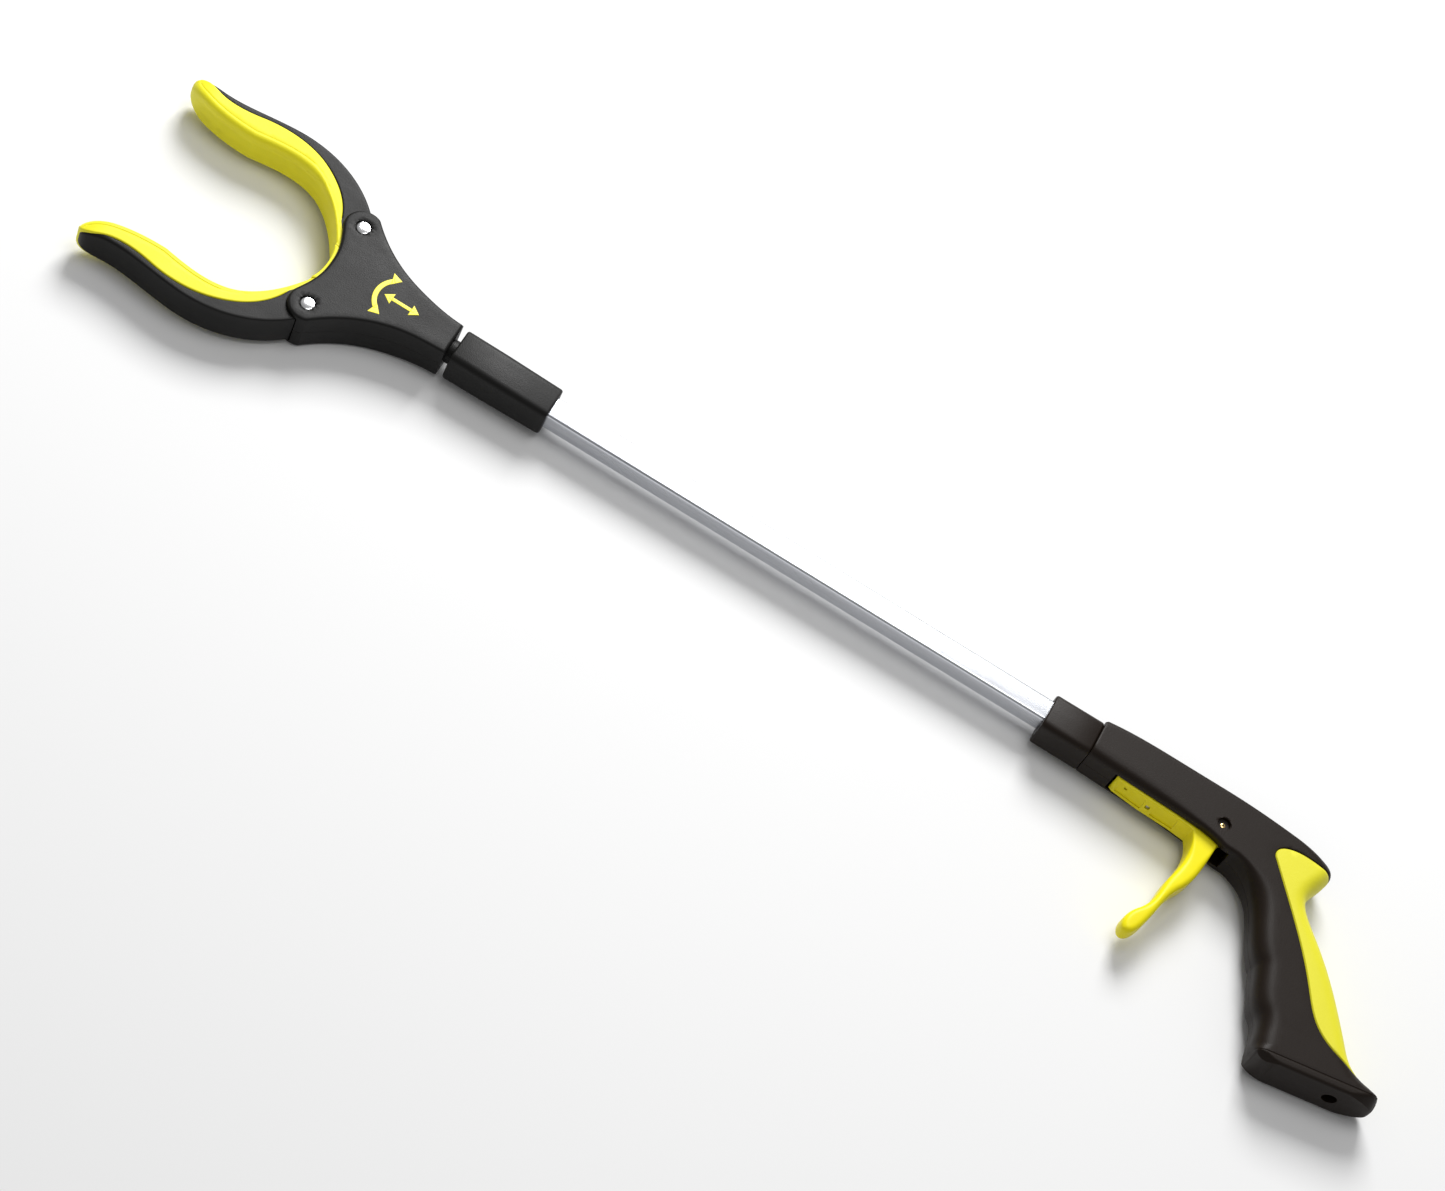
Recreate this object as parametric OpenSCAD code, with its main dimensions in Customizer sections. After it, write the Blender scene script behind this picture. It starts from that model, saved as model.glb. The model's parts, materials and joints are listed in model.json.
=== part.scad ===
// Reacher grabber. It lies on its side: X runs along the tube with the jaws at -X,
// +Y is the tool's top and the grip hangs towards -Y. Every module is drawn about the
// tube's axis, and tool() carries it to its place above the resting face.

/* [Overall] */
// Length from the jaw tips to the heel of the grip
overall_l = 760; // [600:10:900]
// Thickness of the head and of the handle, which is the resting height
body_t = 25; // [24:0.5:28]
// From the jaw pins to the jaw tips
jaw_l = 114; // [114:1:114]
// From the trigger pin to the heel of the grip
heel_l = 127; // [127:1:127]

/* [Tube] */
// Height of the tube's section
tube_h = 13; // [12:0.5:14]
// Thickness of the tube's section
tube_t = 12; // [11:0.5:13]
// Wall of the tube
tube_wall = 1.2; // [1:0.1:1.6]
// Diameter of the pull rod
rod_d = 4; // [3:0.5:4]

/* [Jaws] */
// Half the distance between the two jaw pins
jaw_pin_y = 28; // [28:1:28]
// Angle that each jaw turns from open to closed
jaw_close = 25; // [20:1:25]
// Diameter of the jaw pins
jaw_pin_d = 6; // [5:0.5:6]
// Width of the jaw carriers
jaw_w = 19.6; // [18:0.1:19.6]
// Diameter of the crosshead pin
drive_pin_d = 4; // [3:0.5:4]

/* [Trigger] */
// Angle that the trigger turns when it is squeezed
trigger_turn = 24; // [18:1:24]
// Lever arm of the cable about the trigger pin
cable_arm = 36; // [36:1:36]
// Diameter of the trigger pin
trigger_pin_d = 4; // [3:0.5:5]
// Width of the trigger
trigger_w = 14; // [12:0.5:14]
// Diameter of the steel cable
cable_d = 1.2; // [1:0.1:1.5]

/* [Head lock] */
// How far the head can be pushed
lock_push = 3; // [2:0.5:3]

/* [Hidden] */
$fn = 48;

// Places along the tube
jaw_x = -overall_l / 2 + jaw_l;
pin_x = overall_l / 2 - heel_l;
pin_y = -7.5;
axis_y = 24.85;
half_t = body_t / 2;
tube_front = jaw_x + 92;
tube_rear = pin_x - 48;

// Fits
run = 0.05;
slack = 0.3;
face_play = 0.3;

// Inside of the head, measured from the jaw pins
plate_t = 2.4;
cavity = half_t - plate_t;
bridge_x = 10.4;
bridge_l = 12.6;
cross_h = 16.6;
channel_end = 39.5;
spring_end = 52;
stem_r = 6.45;
head_l = 69;
collar_x = head_l + lock_push + slack;

// The crosshead pin's place at rest, and its stroke from the trigger's turn
drive_x = 4;
stroke = round(cable_arm * trigger_turn * PI / 180);
slot_r = drive_pin_d / 2 + 0.25;
arm_r = slot_r + 2.5;
arm_z = [0.3, 5.8];
spine_t = 8;

// Cable and its roller, measured from the trigger pin
roller_r = 5;
roller_x = -cable_arm - roller_r;
nipple_y = -12.5;

// --- Curves ---

// Points of a cubic curve, without its last point
function curve(a, b, c, d, n = 10) = [
    for (i = [0 : n - 1]) let (t = i / n, s = 1 - t)
        s*s*s * a + 3*s*s*t * b + 3*s*t*t * c + t*t*t * d
];

// Points of an arc about a centre, both ends in
function arc(c, r, a0, a1, n = 12) = [
    for (i = [0 : n]) let (a = a0 + (a1 - a0) * i / n) c + r * [cos(a), sin(a)]
];

// Mirror a row of points to the other side of the tube's axis, in reverse order
function below(pts) = [for (i = [len(pts) - 1 : -1 : 0]) [pts[i].x, -pts[i].y]];

// Turn a point about the origin
function turned(p, a) = [p.x * cos(a) - p.y * sin(a), p.x * sin(a) + p.y * cos(a)];

// --- Placing ---

module tool() { translate([0, axis_y, half_t]) children(); }
module at_jaws() { tool() translate([jaw_x, 0, 0]) children(); }
module at_pin() { tool() translate([pin_x, 0, 0]) children(); }

// A plate between two heights
module plate(z0, z1) { translate([0, 0, z0]) linear_extrude(z1 - z0) children(); }

// A round bar along X from x0 to x1
module bar(x0, x1, r) { translate([x0, 0, 0]) rotate([0, 90, 0]) cylinder(h = x1 - x0, r = r); }

// A round bar along Z
module pillar(x, y, z0, z1, r) { translate([x, y, z0]) cylinder(h = z1 - z0, r = r); }

// A rectangle with round corners about the origin
module round_rect(w, h, r) {
    square([w - 2 * r, h], center = true);
    square([w, h - 2 * r], center = true);
    for (sx = [-1, 1], sy = [-1, 1]) {
        translate([sx * (w / 2 - r), sy * (h / 2 - r)]) circle(r = r);
    }
}

// A bar of round rectangle section along X: h runs along Y and t along Z
module box_bar(x0, x1, h, t, r) {
    translate([x0, 0, 0]) rotate([0, 90, 0]) linear_extrude(x1 - x0) round_rect(t, h, r);
}

// One half of a shell with stepped round edges, on the +Z side of the parting plane
module half_shell() {
    plate(0, half_t - 2.2) children();
    plate(half_t - 2.2, half_t - 0.8) offset(r = -0.8) children();
    plate(half_t - 0.8, half_t) offset(r = -2.2) children();
}

// A coil spring along X, swept as one closed tube of six sides
module coil(x0, x1, r, wire, turns) {
    sides = 6;
    rings = turns * 14;
    pitch = (x1 - x0 - 2 * wire) / turns;
    points = [
        for (i = [0 : rings], k = [0 : sides - 1])
            let (a = 360 * i / 14, b = 360 * k / sides, q = r + wire / 2 * cos(b))
            [x0 + wire + pitch * i / 14 + wire / 2 * sin(b), q * cos(a), q * sin(a)]
    ];
    walls = [
        for (i = [0 : rings - 1], k = [0 : sides - 1])
            let (n = (k + 1) % sides)
            [i * sides + k, i * sides + n, (i + 1) * sides + n, (i + 1) * sides + k]
    ];
    cap_a = [for (k = [sides - 1 : -1 : 0]) k];
    cap_b = [for (k = [0 : sides - 1]) rings * sides + k];
    polyhedron(points, concat([cap_a, cap_b], walls), convexity = 10);
}

// --- Outlines of the handle, measured from the trigger pin ---

// The sole slopes, so the hanging socket is drilled square to it
sole_slope = atan((110.2 - 101) / (124 - 69));
foot_t = 4.5;
socket_r = 4;
socket_l = 7;
socket_x = 106;
socket_y = -101 - (124 - socket_x) * tan(sole_slope);

// A round bar square to the sole, from z0 to z1 above it
module sole_bar(z0, z1, r) {
    translate([socket_x, socket_y, 0]) rotate([0, 0, sole_slope]) rotate([-90, 0, 0])
        translate([0, 0, z0]) cylinder(h = z1 - z0, r = r);
}

handle_top = concat(
    curve([-75, 9.5], [-63, 11.2], [-53, 11.6], [-38, 11.6]),
    curve([-3, 11.6], [19, 11.4], [37, 9.2], [55, 7.2]),
    curve([55, 7.2], [60, 6.5], [62.5, 4], [61, 0], 6)
);
handle_back = concat(
    curve([61, 0], [59.5, -6], [55, -12], [54.8, -18]),
    curve([54.8, -18], [55, -23], [62, -29], [69, -36]),
    curve([69, -36], [83, -50], [92, -64], [99, -74]),
    curve([99, -74], [105, -83], [107, -88], [117, -90.5]),
    curve([117, -90.5], [124, -91.5], [127, -94], [127, -98.5], 6)
);
handle_front = concat(
    [[127, -98.5], [124, -101]],
    curve([69, -110.2], [63.5, -110.5], [60.5, -107], [59.5, -102], 6),
    curve([59.5, -102], [58.5, -97], [58.5, -92], [55.5, -88], 6),
    curve([55.5, -88], [49.5, -83], [48, -72], [45, -64], 6),
    curve([45, -64], [37, -55], [36, -44], [31, -35]),
    curve([31, -35], [27, -28], [21, -20], [11, -18.5])
);
handle_bottom = concat(
    curve([5, -18.5], [-3, -15], [-13, -14.5], [-28, -14], 6),
    [[-28, -14], [-63, -13], [-75, -12.5]]
);

module handle_outline() {
    polygon(concat(handle_top, handle_back, handle_front, handle_bottom));
}

// Everything behind the edge of the thumb rest
module thumb_side() {
    polygon(concat(
        curve([64, 1], [57, 1], [51, 1.5], [44, 1.5], 6),
        curve([44, 1.5], [35, 1.5], [27, -2], [30, -8], 6),
        curve([30, -8], [43, -24], [59, -42], [70, -60]),
        curve([70, -60], [80, -76], [83, -88], [116, -91]),
        [[116, -91], [140, -80], [140, 1]]
    ));
}

// The foot is the end of the grip, cut off parallel to its sole
module foot_side() {
    translate([124, -101]) rotate([0, 0, sole_slope]) translate([-100, foot_t - 40]) square([140, 40]);
}

module thumb_outline() {
    intersection() {
        handle_outline();
        difference() {
            thumb_side();
            foot_side();
        }
    }
}

module shell_outline() {
    difference() {
        handle_outline();
        thumb_side();
        foot_side();
    }
}

// Room for the trigger's boss, the roller and the cable behind the tube's end
module works_outline() {
    polygon([[-46, 8.4], [8, 8.4], [8, -11], [9.5, -14], [9.5, -40], [-50, -40], [-50, -5], [-46, -4]]);
}

module grip_hollow() {
    intersection() {
        offset(r = -3.4) shell_outline();
        translate([25, -120]) square([90, 86]);
    }
}

// Screws that hold two halves together: their places, shank, clearance, head and well
handle_spots = [[24, -3], [44, -34], [64, -80]];
head_spots = [[27, -14], [27, 14]];
screw_r = 1.3;
screw_way_r = 1.6;
screw_head_r = 2.7;
screw_well_r = 3;
screw_well = 4;
screw_end = 7.5;
cross_cut = [3.4, 0.7, 1.6];

module screw_threads(spots) {
    for (s = spots) pillar(s.x, s.y, -1, screw_end + 0.5, screw_r);
}

module screw_ways(spots) {
    for (s = spots) {
        pillar(s.x, s.y, -half_t, 1, screw_way_r);
        pillar(s.x, s.y, -half_t - 1, -half_t + screw_well, screw_well_r);
    }
}

module screws(spots) {
    for (s = spots) {
        pillar(s.x, s.y, -half_t + screw_well, screw_end, screw_r);
        difference() {
            pillar(s.x, s.y, -half_t + 1.8, -half_t + screw_well, screw_head_r);
            for (a = [0, 90])
                translate([s.x, s.y, -half_t + 2.1]) rotate([0, 0, a]) cube(cross_cut, center = true);
        }
    }
}

// The left half of the handle, before the parts that differ from side to side
module handle_half() {
    difference() {
        union() {
            difference() {
                half_shell() shell_outline();
                plate(-1, half_t - 2.6) works_outline();
                plate(-1, half_t - 3) grip_hollow();
            }
            pillar(0, pin_y, trigger_w / 2 + slack + 0.2, half_t - 2.4, 6);
            for (s = handle_spots) pillar(s.x, s.y, 0, half_t - 2, 3.6);
            difference() {
                plate(trigger_w / 2 + 0.6, half_t - 2.4) polygon([[-48, -3], [-30, -3], [-30, -14], [-48, -13.5]]);
                plate(0, half_t) polygon([[-46, 9], [-34, 9], [-34, 0], [-46, 0]]);
            }
        }
        plate(-1, trigger_w / 2 + 0.6) polygon([[-58.5, -7.6], [9.5, -7.6], [9.5, -40], [-58.5, -40]]);
        box_bar(-76, -40, tube_h + 2 * run, tube_t + 2 * run, 1.6);
        pillar(0, pin_y, -1, half_t - 2, trigger_pin_d / 2);
        pillar(0, pin_y, half_t - 2.2, half_t + 1, 3.4);
        pillar(roller_x, -roller_r, -1, 9.6, 1.5);
        sole_bar(0, socket_l + 2, socket_r + 1.65);
    }
}

module handle_shell_left() {
    color("#2d231c") at_pin() difference() {
        handle_half();
        screw_threads(handle_spots);
    }
}

module handle_shell_right() {
    color("#2d231c") at_pin() difference() {
        mirror([0, 0, 1]) handle_half();
        screw_ways(handle_spots);
    }
}

module thumb_rest() {
    color("#ded730") at_pin() {
        half_shell() thumb_outline();
        mirror([0, 0, 1]) half_shell() thumb_outline();
    }
}

module grip_foot() {
    color("#2d231c") at_pin() difference() {
        union() {
            for (m = [0, 1]) mirror([0, 0, m]) half_shell() intersection() {
                handle_outline();
                foot_side();
            }
            sole_bar(1, socket_l + 2, socket_r + 1.6);
        }
        sole_bar(-1, socket_l, socket_r);
    }
}

module rear_collar() {
    color("#2d231c") at_pin() difference() {
        translate([0, -1.9, 0]) box_bar(-102.5, -75, 21.6, 21.6, 5);
        box_bar(-103, -74, tube_h + 2 * run, tube_t + 2 * run, 1.6);
    }
}

module handle_screws() {
    color("silver") at_pin() screws(handle_spots);
}

module trigger_pin() {
    color("#d8b45a") at_pin() pillar(0, pin_y, -half_t + 2, half_t - 2, trigger_pin_d / 2);
}

module guide_roller_pin() {
    color("silver") at_pin() pillar(roller_x, -roller_r, -9.6, 9.6, 1.5);
}

// --- Trigger ---

module trigger_outline() {
    polygon(concat(
        arc([0, pin_y], 5.5, 130, 20),
        [[5.5, pin_y - 2]],
        curve([2.5, -16.5], [1.5, -28], [2, -38], [-4, -49]),
        curve([-4, -49], [-8.5, -56], [-9, -62], [-10.8, -70]),
        curve([-10.8, -70], [-13, -79], [-15, -87], [-20.5, -86], 8),
        curve([-20.5, -86], [-24, -84], [-24, -77], [-19, -71], 8),
        curve([-19, -71], [-11.5, -62], [-14.5, -56], [-11, -44]),
        curve([-11, -44], [-8, -34], [-7.5, -22], [-12, -17]),
        [[-12, -17], [-30, -15.8], [-55, -14.2], [-57, -13], [-57, -8.6], [-34, -8.2], [-8, -3.6]]
    ));
}

module trigger() {
    color("#f5ea1e") at_pin() difference() {
        union() {
            plate(-trigger_w / 2 + 0.6, trigger_w / 2 - 0.6) trigger_outline();
            plate(-trigger_w / 2, trigger_w / 2) offset(r = -1) trigger_outline();
        }
        plate(-4.2, 4.2) polygon([[-60, 0], [-60, -12.2], [-28, -12.2], [-10, -12.8], [-9, 0]]);
        pillar(0, pin_y, -20, 20, trigger_pin_d / 2 + run);
        pillar(-cable_arm, nipple_y, -4.6, 4.6, 2.2);
        translate([-cable_arm, nipple_y - 2, 0]) cube([2.6, 12, 2.6], center = true);
    }
}

module cable_nipple() {
    color("silver") at_pin() pillar(-cable_arm, nipple_y, -4.5, 4.5, 2.1);
}

module guide_roller() {
    color("#e8e6df") at_pin() translate([roller_x, -roller_r, 0]) rotate_extrude() polygon([
        [1.5 + run, -3.4], [6.5, -3.4], [6.5, -2.4], [roller_r - cable_d / 2 - 0.1, -0.8],
        [roller_r - cable_d / 2 - 0.1, 0.8], [6.5, 2.4], [6.5, 3.4], [1.5 + run, 3.4]
    ]);
}

// --- Tube, rod and cable ---

module tube() {
    color("#dfe2e8") tool() difference() {
        box_bar(tube_front, tube_rear, tube_h, tube_t, 1.6);
        box_bar(tube_front - 1, tube_rear + 1, tube_h - 2 * tube_wall, tube_t - 2 * tube_wall, 0.6);
    }
}

module rod_bush(x0) {
    color("#d9d6cc") tool() difference() {
        box_bar(x0, x0 + 8, tube_h - 2 * tube_wall, tube_t - 2 * tube_wall, 0.6);
        bar(x0 - 1, x0 + 9, rod_d / 2 + run);
    }
}

module front_rod_bush() { rod_bush(tube_front); }
module rear_rod_bush() { rod_bush(tube_rear - 62); }

ferrule_x = pin_x - 79;

module pull_rod() {
    color("silver") tool() bar(jaw_x + 20.2, ferrule_x + 5, rod_d / 2);
}

module cable_ferrule() {
    color("#c9c4b8") tool() difference() {
        bar(ferrule_x, ferrule_x + 12, 3);
        bar(ferrule_x - 1, ferrule_x + 5, rod_d / 2);
        bar(ferrule_x + 4, ferrule_x + 13, cable_d / 2);
    }
}

module rod_button() {
    color("silver") tool() bar(jaw_x + 17.2, jaw_x + 20.2, 4);
}

module pull_cable() {
    color("#9a9a98") at_pin() {
        bar(-79 + 6, roller_x, cable_d / 2);
        translate([roller_x, -roller_r, 0]) rotate_extrude(angle = 90)
            translate([roller_r, 0]) circle(d = cable_d);
        translate([-cable_arm, -roller_r, 0]) rotate([90, 0, 0])
            cylinder(h = -nipple_y - roller_r - 2.2, d = cable_d);
    }
}

// --- Swivel of the head ---

module front_collar() {
    color("#26231f") at_jaws() difference() {
        box_bar(collar_x, 128, 21.4, 21.4, 4);
        bar(collar_x - 1, collar_x + 5, stem_r + run);
        bar(collar_x + 3.7, 92, 8.6);
        box_bar(92, 129, tube_h + 2 * run, tube_t + 2 * run, 1.6);
    }
}

module swivel_stem() {
    color("#26231f") at_jaws() difference() {
        union() {
            bar(53.1, 57.1, 8);
            bar(57, 86, stem_r);
        }
        bar(50, 90, rod_d / 2 + 0.4);
    }
}

module retaining_ring() {
    color("silver") at_jaws() difference() {
        bar(collar_x + 4, collar_x + 6, 8.2);
        bar(collar_x + 3, collar_x + 7, stem_r);
    }
}

module thrust_washer() {
    color("silver") at_jaws() difference() {
        bar(collar_x + 6.1, collar_x + 7.6, 8.2);
        bar(collar_x + 5, collar_x + 9, stem_r + 0.08);
    }
}

module lock_spring() {
    color("silver") at_jaws() coil(collar_x + 7.8, 91.8, 7.5, 0.9, 4);
}

// --- Head ---

knuckle_r = 10.3;
head_upper = concat(
    curve([-3, 0], [-3, 9], [-5, 15], [-9.3, 23.5], 8),
    arc([0, jaw_pin_y], knuckle_r, 205, 63, 20),
    curve([4.7, 37.2], [21, 20], [41, 11], [head_l, 10.2], 14),
    [[head_l, 10.2]]
);

module head_outline() { polygon(concat(head_upper, below(head_upper))); }

room_upper = [[-30, 0], [-30, 60], [0, 60], [0, 35.8], [7, 31.8], [14, 24], [18, 18], [23, 8.6],
    [channel_end, 8.6], [channel_end, 0]];

module head_room() { polygon(concat(room_upper, below(room_upper))); }

module head_half() {
    difference() {
        half_shell() head_outline();
        plate(-1, cavity) head_room();
        bar(channel_end - 1, spring_end, 7);
        bar(53, 57.2, 8.05);
        bar(spring_end - 1, 70, stem_r);
        for (s = [-1, 1]) {
            pillar(0, s * jaw_pin_y, 0, half_t + 1, jaw_pin_d / 2);
            pillar(0, s * jaw_pin_y, half_t - 1.6, half_t + 1, 4.4);
        }
        screw_threads(head_spots);
    }
}

module head_shell_left() {
    color("#2b2b2b") at_jaws() difference() {
        head_half();
        turn_mark(1);
        push_mark(1);
    }
}

module head_shell_right() {
    color("#2b2b2b") at_jaws() difference() {
        mirror([0, 0, 1]) head_half();
        screw_ways(head_spots);
    }
}

module head_screws() {
    color("silver") at_jaws() screws(head_spots);
}

module jaw_pins() {
    color("#f2f2f2") at_jaws() for (s = [-1, 1]) {
        pillar(0, s * jaw_pin_y, -half_t + 1.5, half_t - 1.5, jaw_pin_d / 2);
        pillar(0, s * jaw_pin_y, half_t - 1.6, half_t - 0.5, 3.7);
        pillar(0, s * jaw_pin_y, -half_t + 0.5, -half_t + 1.6, 3.7);
    }
}

pad_end_r = 16.6;
liner_upper = concat(
    curve([-4.6, 0], [-4.6, 5], [-5.4, 9], [-7.3, 12.6], 6),
    arc([0, jaw_pin_y], pad_end_r + 0.4, -113, -101, 4),
    [[-3, 6], [-3, 0]]
);

module throat_liner() {
    color("#f5ea1e") at_jaws() plate(-cavity, cavity) polygon(concat(liner_upper, below(liner_upper)));
}

// A flat double arrow head at the origin, pointing to +X
module arrow_head(l, w) { polygon([[0, 0], [-l, w], [-l, -w]]); }

mark_r = 13;
mark_x = 37;
mark_a = 48;

// The curved double arrow that says the head turns
module turn_mark(extra) {
    plate(half_t - 0.4, half_t + extra) {
        polygon(concat(
            arc([mark_x, 0], mark_r + 1.3, 180 - mark_a, 180 + mark_a),
            arc([mark_x, 0], mark_r - 1.3, 180 + mark_a, 180 - mark_a)
        ));
        for (s = [-1, 1]) {
            translate([mark_x, 0]) rotate([0, 0, 180 - s * (mark_a + 18)]) translate([mark_r, 0])
                rotate([0, 0, -s * 98]) arrow_head(5, 3.5);
        }
    }
}

// The straight double arrow that says the head pushes in
module push_mark(extra) {
    plate(half_t - 0.4, half_t + extra) {
        translate([31, -1]) square([14, 2]);
        translate([28, 0]) rotate([0, 0, 180]) arrow_head(4.6, 3.4);
        translate([48, 0]) arrow_head(4.6, 3.4);
    }
}

module turn_arrows() { color("#f5ea1e") at_jaws() turn_mark(0); }
module push_arrows() { color("#f5ea1e") at_jaws() push_mark(0); }

module return_spring() {
    color("silver") at_jaws() coil(bridge_x + bridge_l + 0.2, spring_end - 0.2, 5, 0.9, 8);
}

// --- Crosshead ---

module crosshead() {
    color("#d9d6cc") at_jaws() difference() {
        union() {
            for (m = [0, 1]) mirror([0, 0, m])
                plate(arm_z[1] + slack, cavity - face_play) translate([-0.6, -cross_h / 2])
                    square([bridge_x + 1.6, cross_h]);
            plate(-cavity + face_play, cavity - face_play) translate([bridge_x, -cross_h / 2])
                square([bridge_l, cross_h]);
        }
        translate([bridge_x + 2.5, -4.4, -4.4]) cube([7.4, 20, 8.8]);
        translate([bridge_x + 9, -2.4, -2.4]) cube([5, 20, 4.8]);
        pillar(drive_x, 0, -20, 20, drive_pin_d / 2);
    }
}

module crosshead_pin() {
    color("silver") at_jaws() pillar(drive_x, 0, -cavity + 0.5, cavity - 0.5, drive_pin_d / 2);
}

// --- Jaws ---

jaw_back = concat(
    [[-0.6, 38.3]],
    curve([-2, 39.8], [-13, 51.4], [-30, 60.4], [-52, 60.2], 12),
    curve([-52, 60.2], [-69, 59.8], [-85, 54.8], [-104, 57.4], 12),
    [[-104, 57.4], [-109.3, 60.1]]
);
pad_back = concat(
    curve([-110, 59.6], [-99, 52.6], [-86, 52.3], [-72, 55], 10),
    curve([-72, 55], [-58, 57.5], [-45, 56], [-34, 50.5], 10),
    curve([-34, 50.5], [-23, 45], [-15, 37], [-11.5, 26], 8)
);
pad_face = concat(
    curve([-110, 60.2], [-113, 60.6], [-114, 58.5], [-114, 55], 6),
    curve([-114, 55], [-112, 48], [-96, 40], [-72, 41.6], 12),
    curve([-72, 41.6], [-56, 44.6], [-44, 46], [-32, 40.8], 12),
    curve([-32, 40.8], [-21, 35.4], [-13, 24.4], [-6.6, 12.8], 10)
);

// The path of the crosshead pin in the jaw, as the jaw turns and the crosshead slides
slot_steps = 8;
slot_path = [
    for (i = [0 : slot_steps]) let (t = i / slot_steps)
        turned([drive_x + stroke * t, -jaw_pin_y], -jaw_close * t)
];

// The path's direction at each of its points
slot_turn = [
    for (i = [0 : slot_steps])
        let (d = slot_path[min(i + 1, slot_steps)] - slot_path[max(i - 1, 0)]) atan2(d.y, d.x)
];

// One side of the slot, at a distance from its path
function slot_side(r) = [
    for (i = [0 : slot_steps]) slot_path[i] + r * [-sin(slot_turn[i]), cos(slot_turn[i])]
];

// A round end of the slot, without the two points where its sides start
function slot_end(i, a) = [
    for (b = [75 : -15 : -75]) slot_path[i] + slot_r * [cos(a + b), sin(a + b)]
];

// Points that the pin doesn't pass over at any other place on its path
module slot_cut() {
    near = slot_side(-slot_r);
    edge = concat(slot_side(slot_r), slot_end(slot_steps, slot_turn[slot_steps]),
        [for (i = [slot_steps : -1 : 0]) near[i]], slot_end(0, slot_turn[0] + 180));
    polygon([for (q = edge) if (min([for (p = slot_path) norm(q - p)]) > slot_r - 0.001) q]);
}

module jaw_arm() {
    d = slot_path[slot_steps];
    rotate([0, 0, atan2(d.y, d.x)]) translate([0, -arm_r]) square([norm(d), 2 * arm_r]);
    translate(d) circle(r = arm_r);
}

module jaw_body() {
    polygon(concat(jaw_back, pad_back, [[-11.5, 26], [-9, 22.4], [-0.6, 22.2]]));
}

// The rib of the jaw that holds its pad
module jaw_spine() {
    plate(-spine_t / 2, spine_t / 2)
        polygon([[-95, 55.9], [-84, 55], [-70, 56.8], [-40, 58], [-30, 50],
            [-40, 49.5], [-50, 51.3], [-72, 50], [-92, 48.5]]);
}

// Both jaws are one moulding: the lower one is the upper one turned over
module jaw() {
    difference() {
        union() {
            plate(-jaw_w / 2 + 0.8, jaw_w / 2 - 0.8) jaw_body();
            plate(-jaw_w / 2, jaw_w / 2) offset(r = -0.8) jaw_body();
            pillar(0, jaw_pin_y, -jaw_w / 2, jaw_w / 2, 6.4);
            jaw_spine();
            translate([0, jaw_pin_y, 0]) plate(arm_z[0], arm_z[1]) jaw_arm();
        }
        translate([0, jaw_pin_y, 0]) plate(-jaw_w, jaw_w) slot_cut();
        pillar(0, jaw_pin_y, -jaw_w, jaw_w, jaw_pin_d / 2 + run);
    }
}

module pad_outline() {
    polygon(concat(pad_face, arc([0, jaw_pin_y], pad_end_r, -113.5, -101, 3),
        [[-5, 19.6], [-9, 22.4], [-11.5, 26]], [for (i = [len(pad_back) - 1 : -1 : 0]) pad_back[i]]));
}

module jaw_pad() {
    difference() {
        union() {
            plate(-jaw_w / 2, jaw_w / 2) pad_outline();
            plate(-10.5, 10.5) intersection() {
                offset(r = -0.6) pad_outline();
                translate([-120, 30]) square([90, 40]);
            }
        }
        jaw_spine();
    }
}

module jaw_upper() { color("#2b2b2b") at_jaws() jaw(); }
module jaw_lower() { color("#2b2b2b") at_jaws() rotate([180, 0, 0]) jaw(); }
module jaw_pad_upper() { color("#f5ea1e") at_jaws() jaw_pad(); }
module jaw_pad_lower() { color("#f5ea1e") at_jaws() rotate([180, 0, 0]) jaw_pad(); }

handle_shell_left();
handle_shell_right();
thumb_rest();
grip_foot();
rear_collar();
handle_screws();
trigger_pin();
guide_roller_pin();
tube();
front_rod_bush();
rear_rod_bush();
front_collar();
lock_spring();
trigger();
cable_nipple();
guide_roller();
pull_rod();
cable_ferrule();
rod_button();
pull_cable();
thrust_washer();
swivel_stem();
retaining_ring();
head_shell_left();
head_shell_right();
head_screws();
jaw_pins();
throat_liner();
turn_arrows();
push_arrows();
return_spring();
crosshead();
crosshead_pin();
jaw_upper();
jaw_lower();
jaw_pad_upper();
jaw_pad_lower();
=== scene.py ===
"""Looks of the reacher grabber: its visible mouldings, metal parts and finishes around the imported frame."""

import json
import logging
import math
from dataclasses import dataclass, field
from enum import Enum
from typing import Any, Callable, Iterable, Optional, Sequence, Union

import bmesh
import bpy
import numpy as np
from mathutils import Matrix, Vector
from mathutils.geometry import delaunay_2d_cdt


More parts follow.
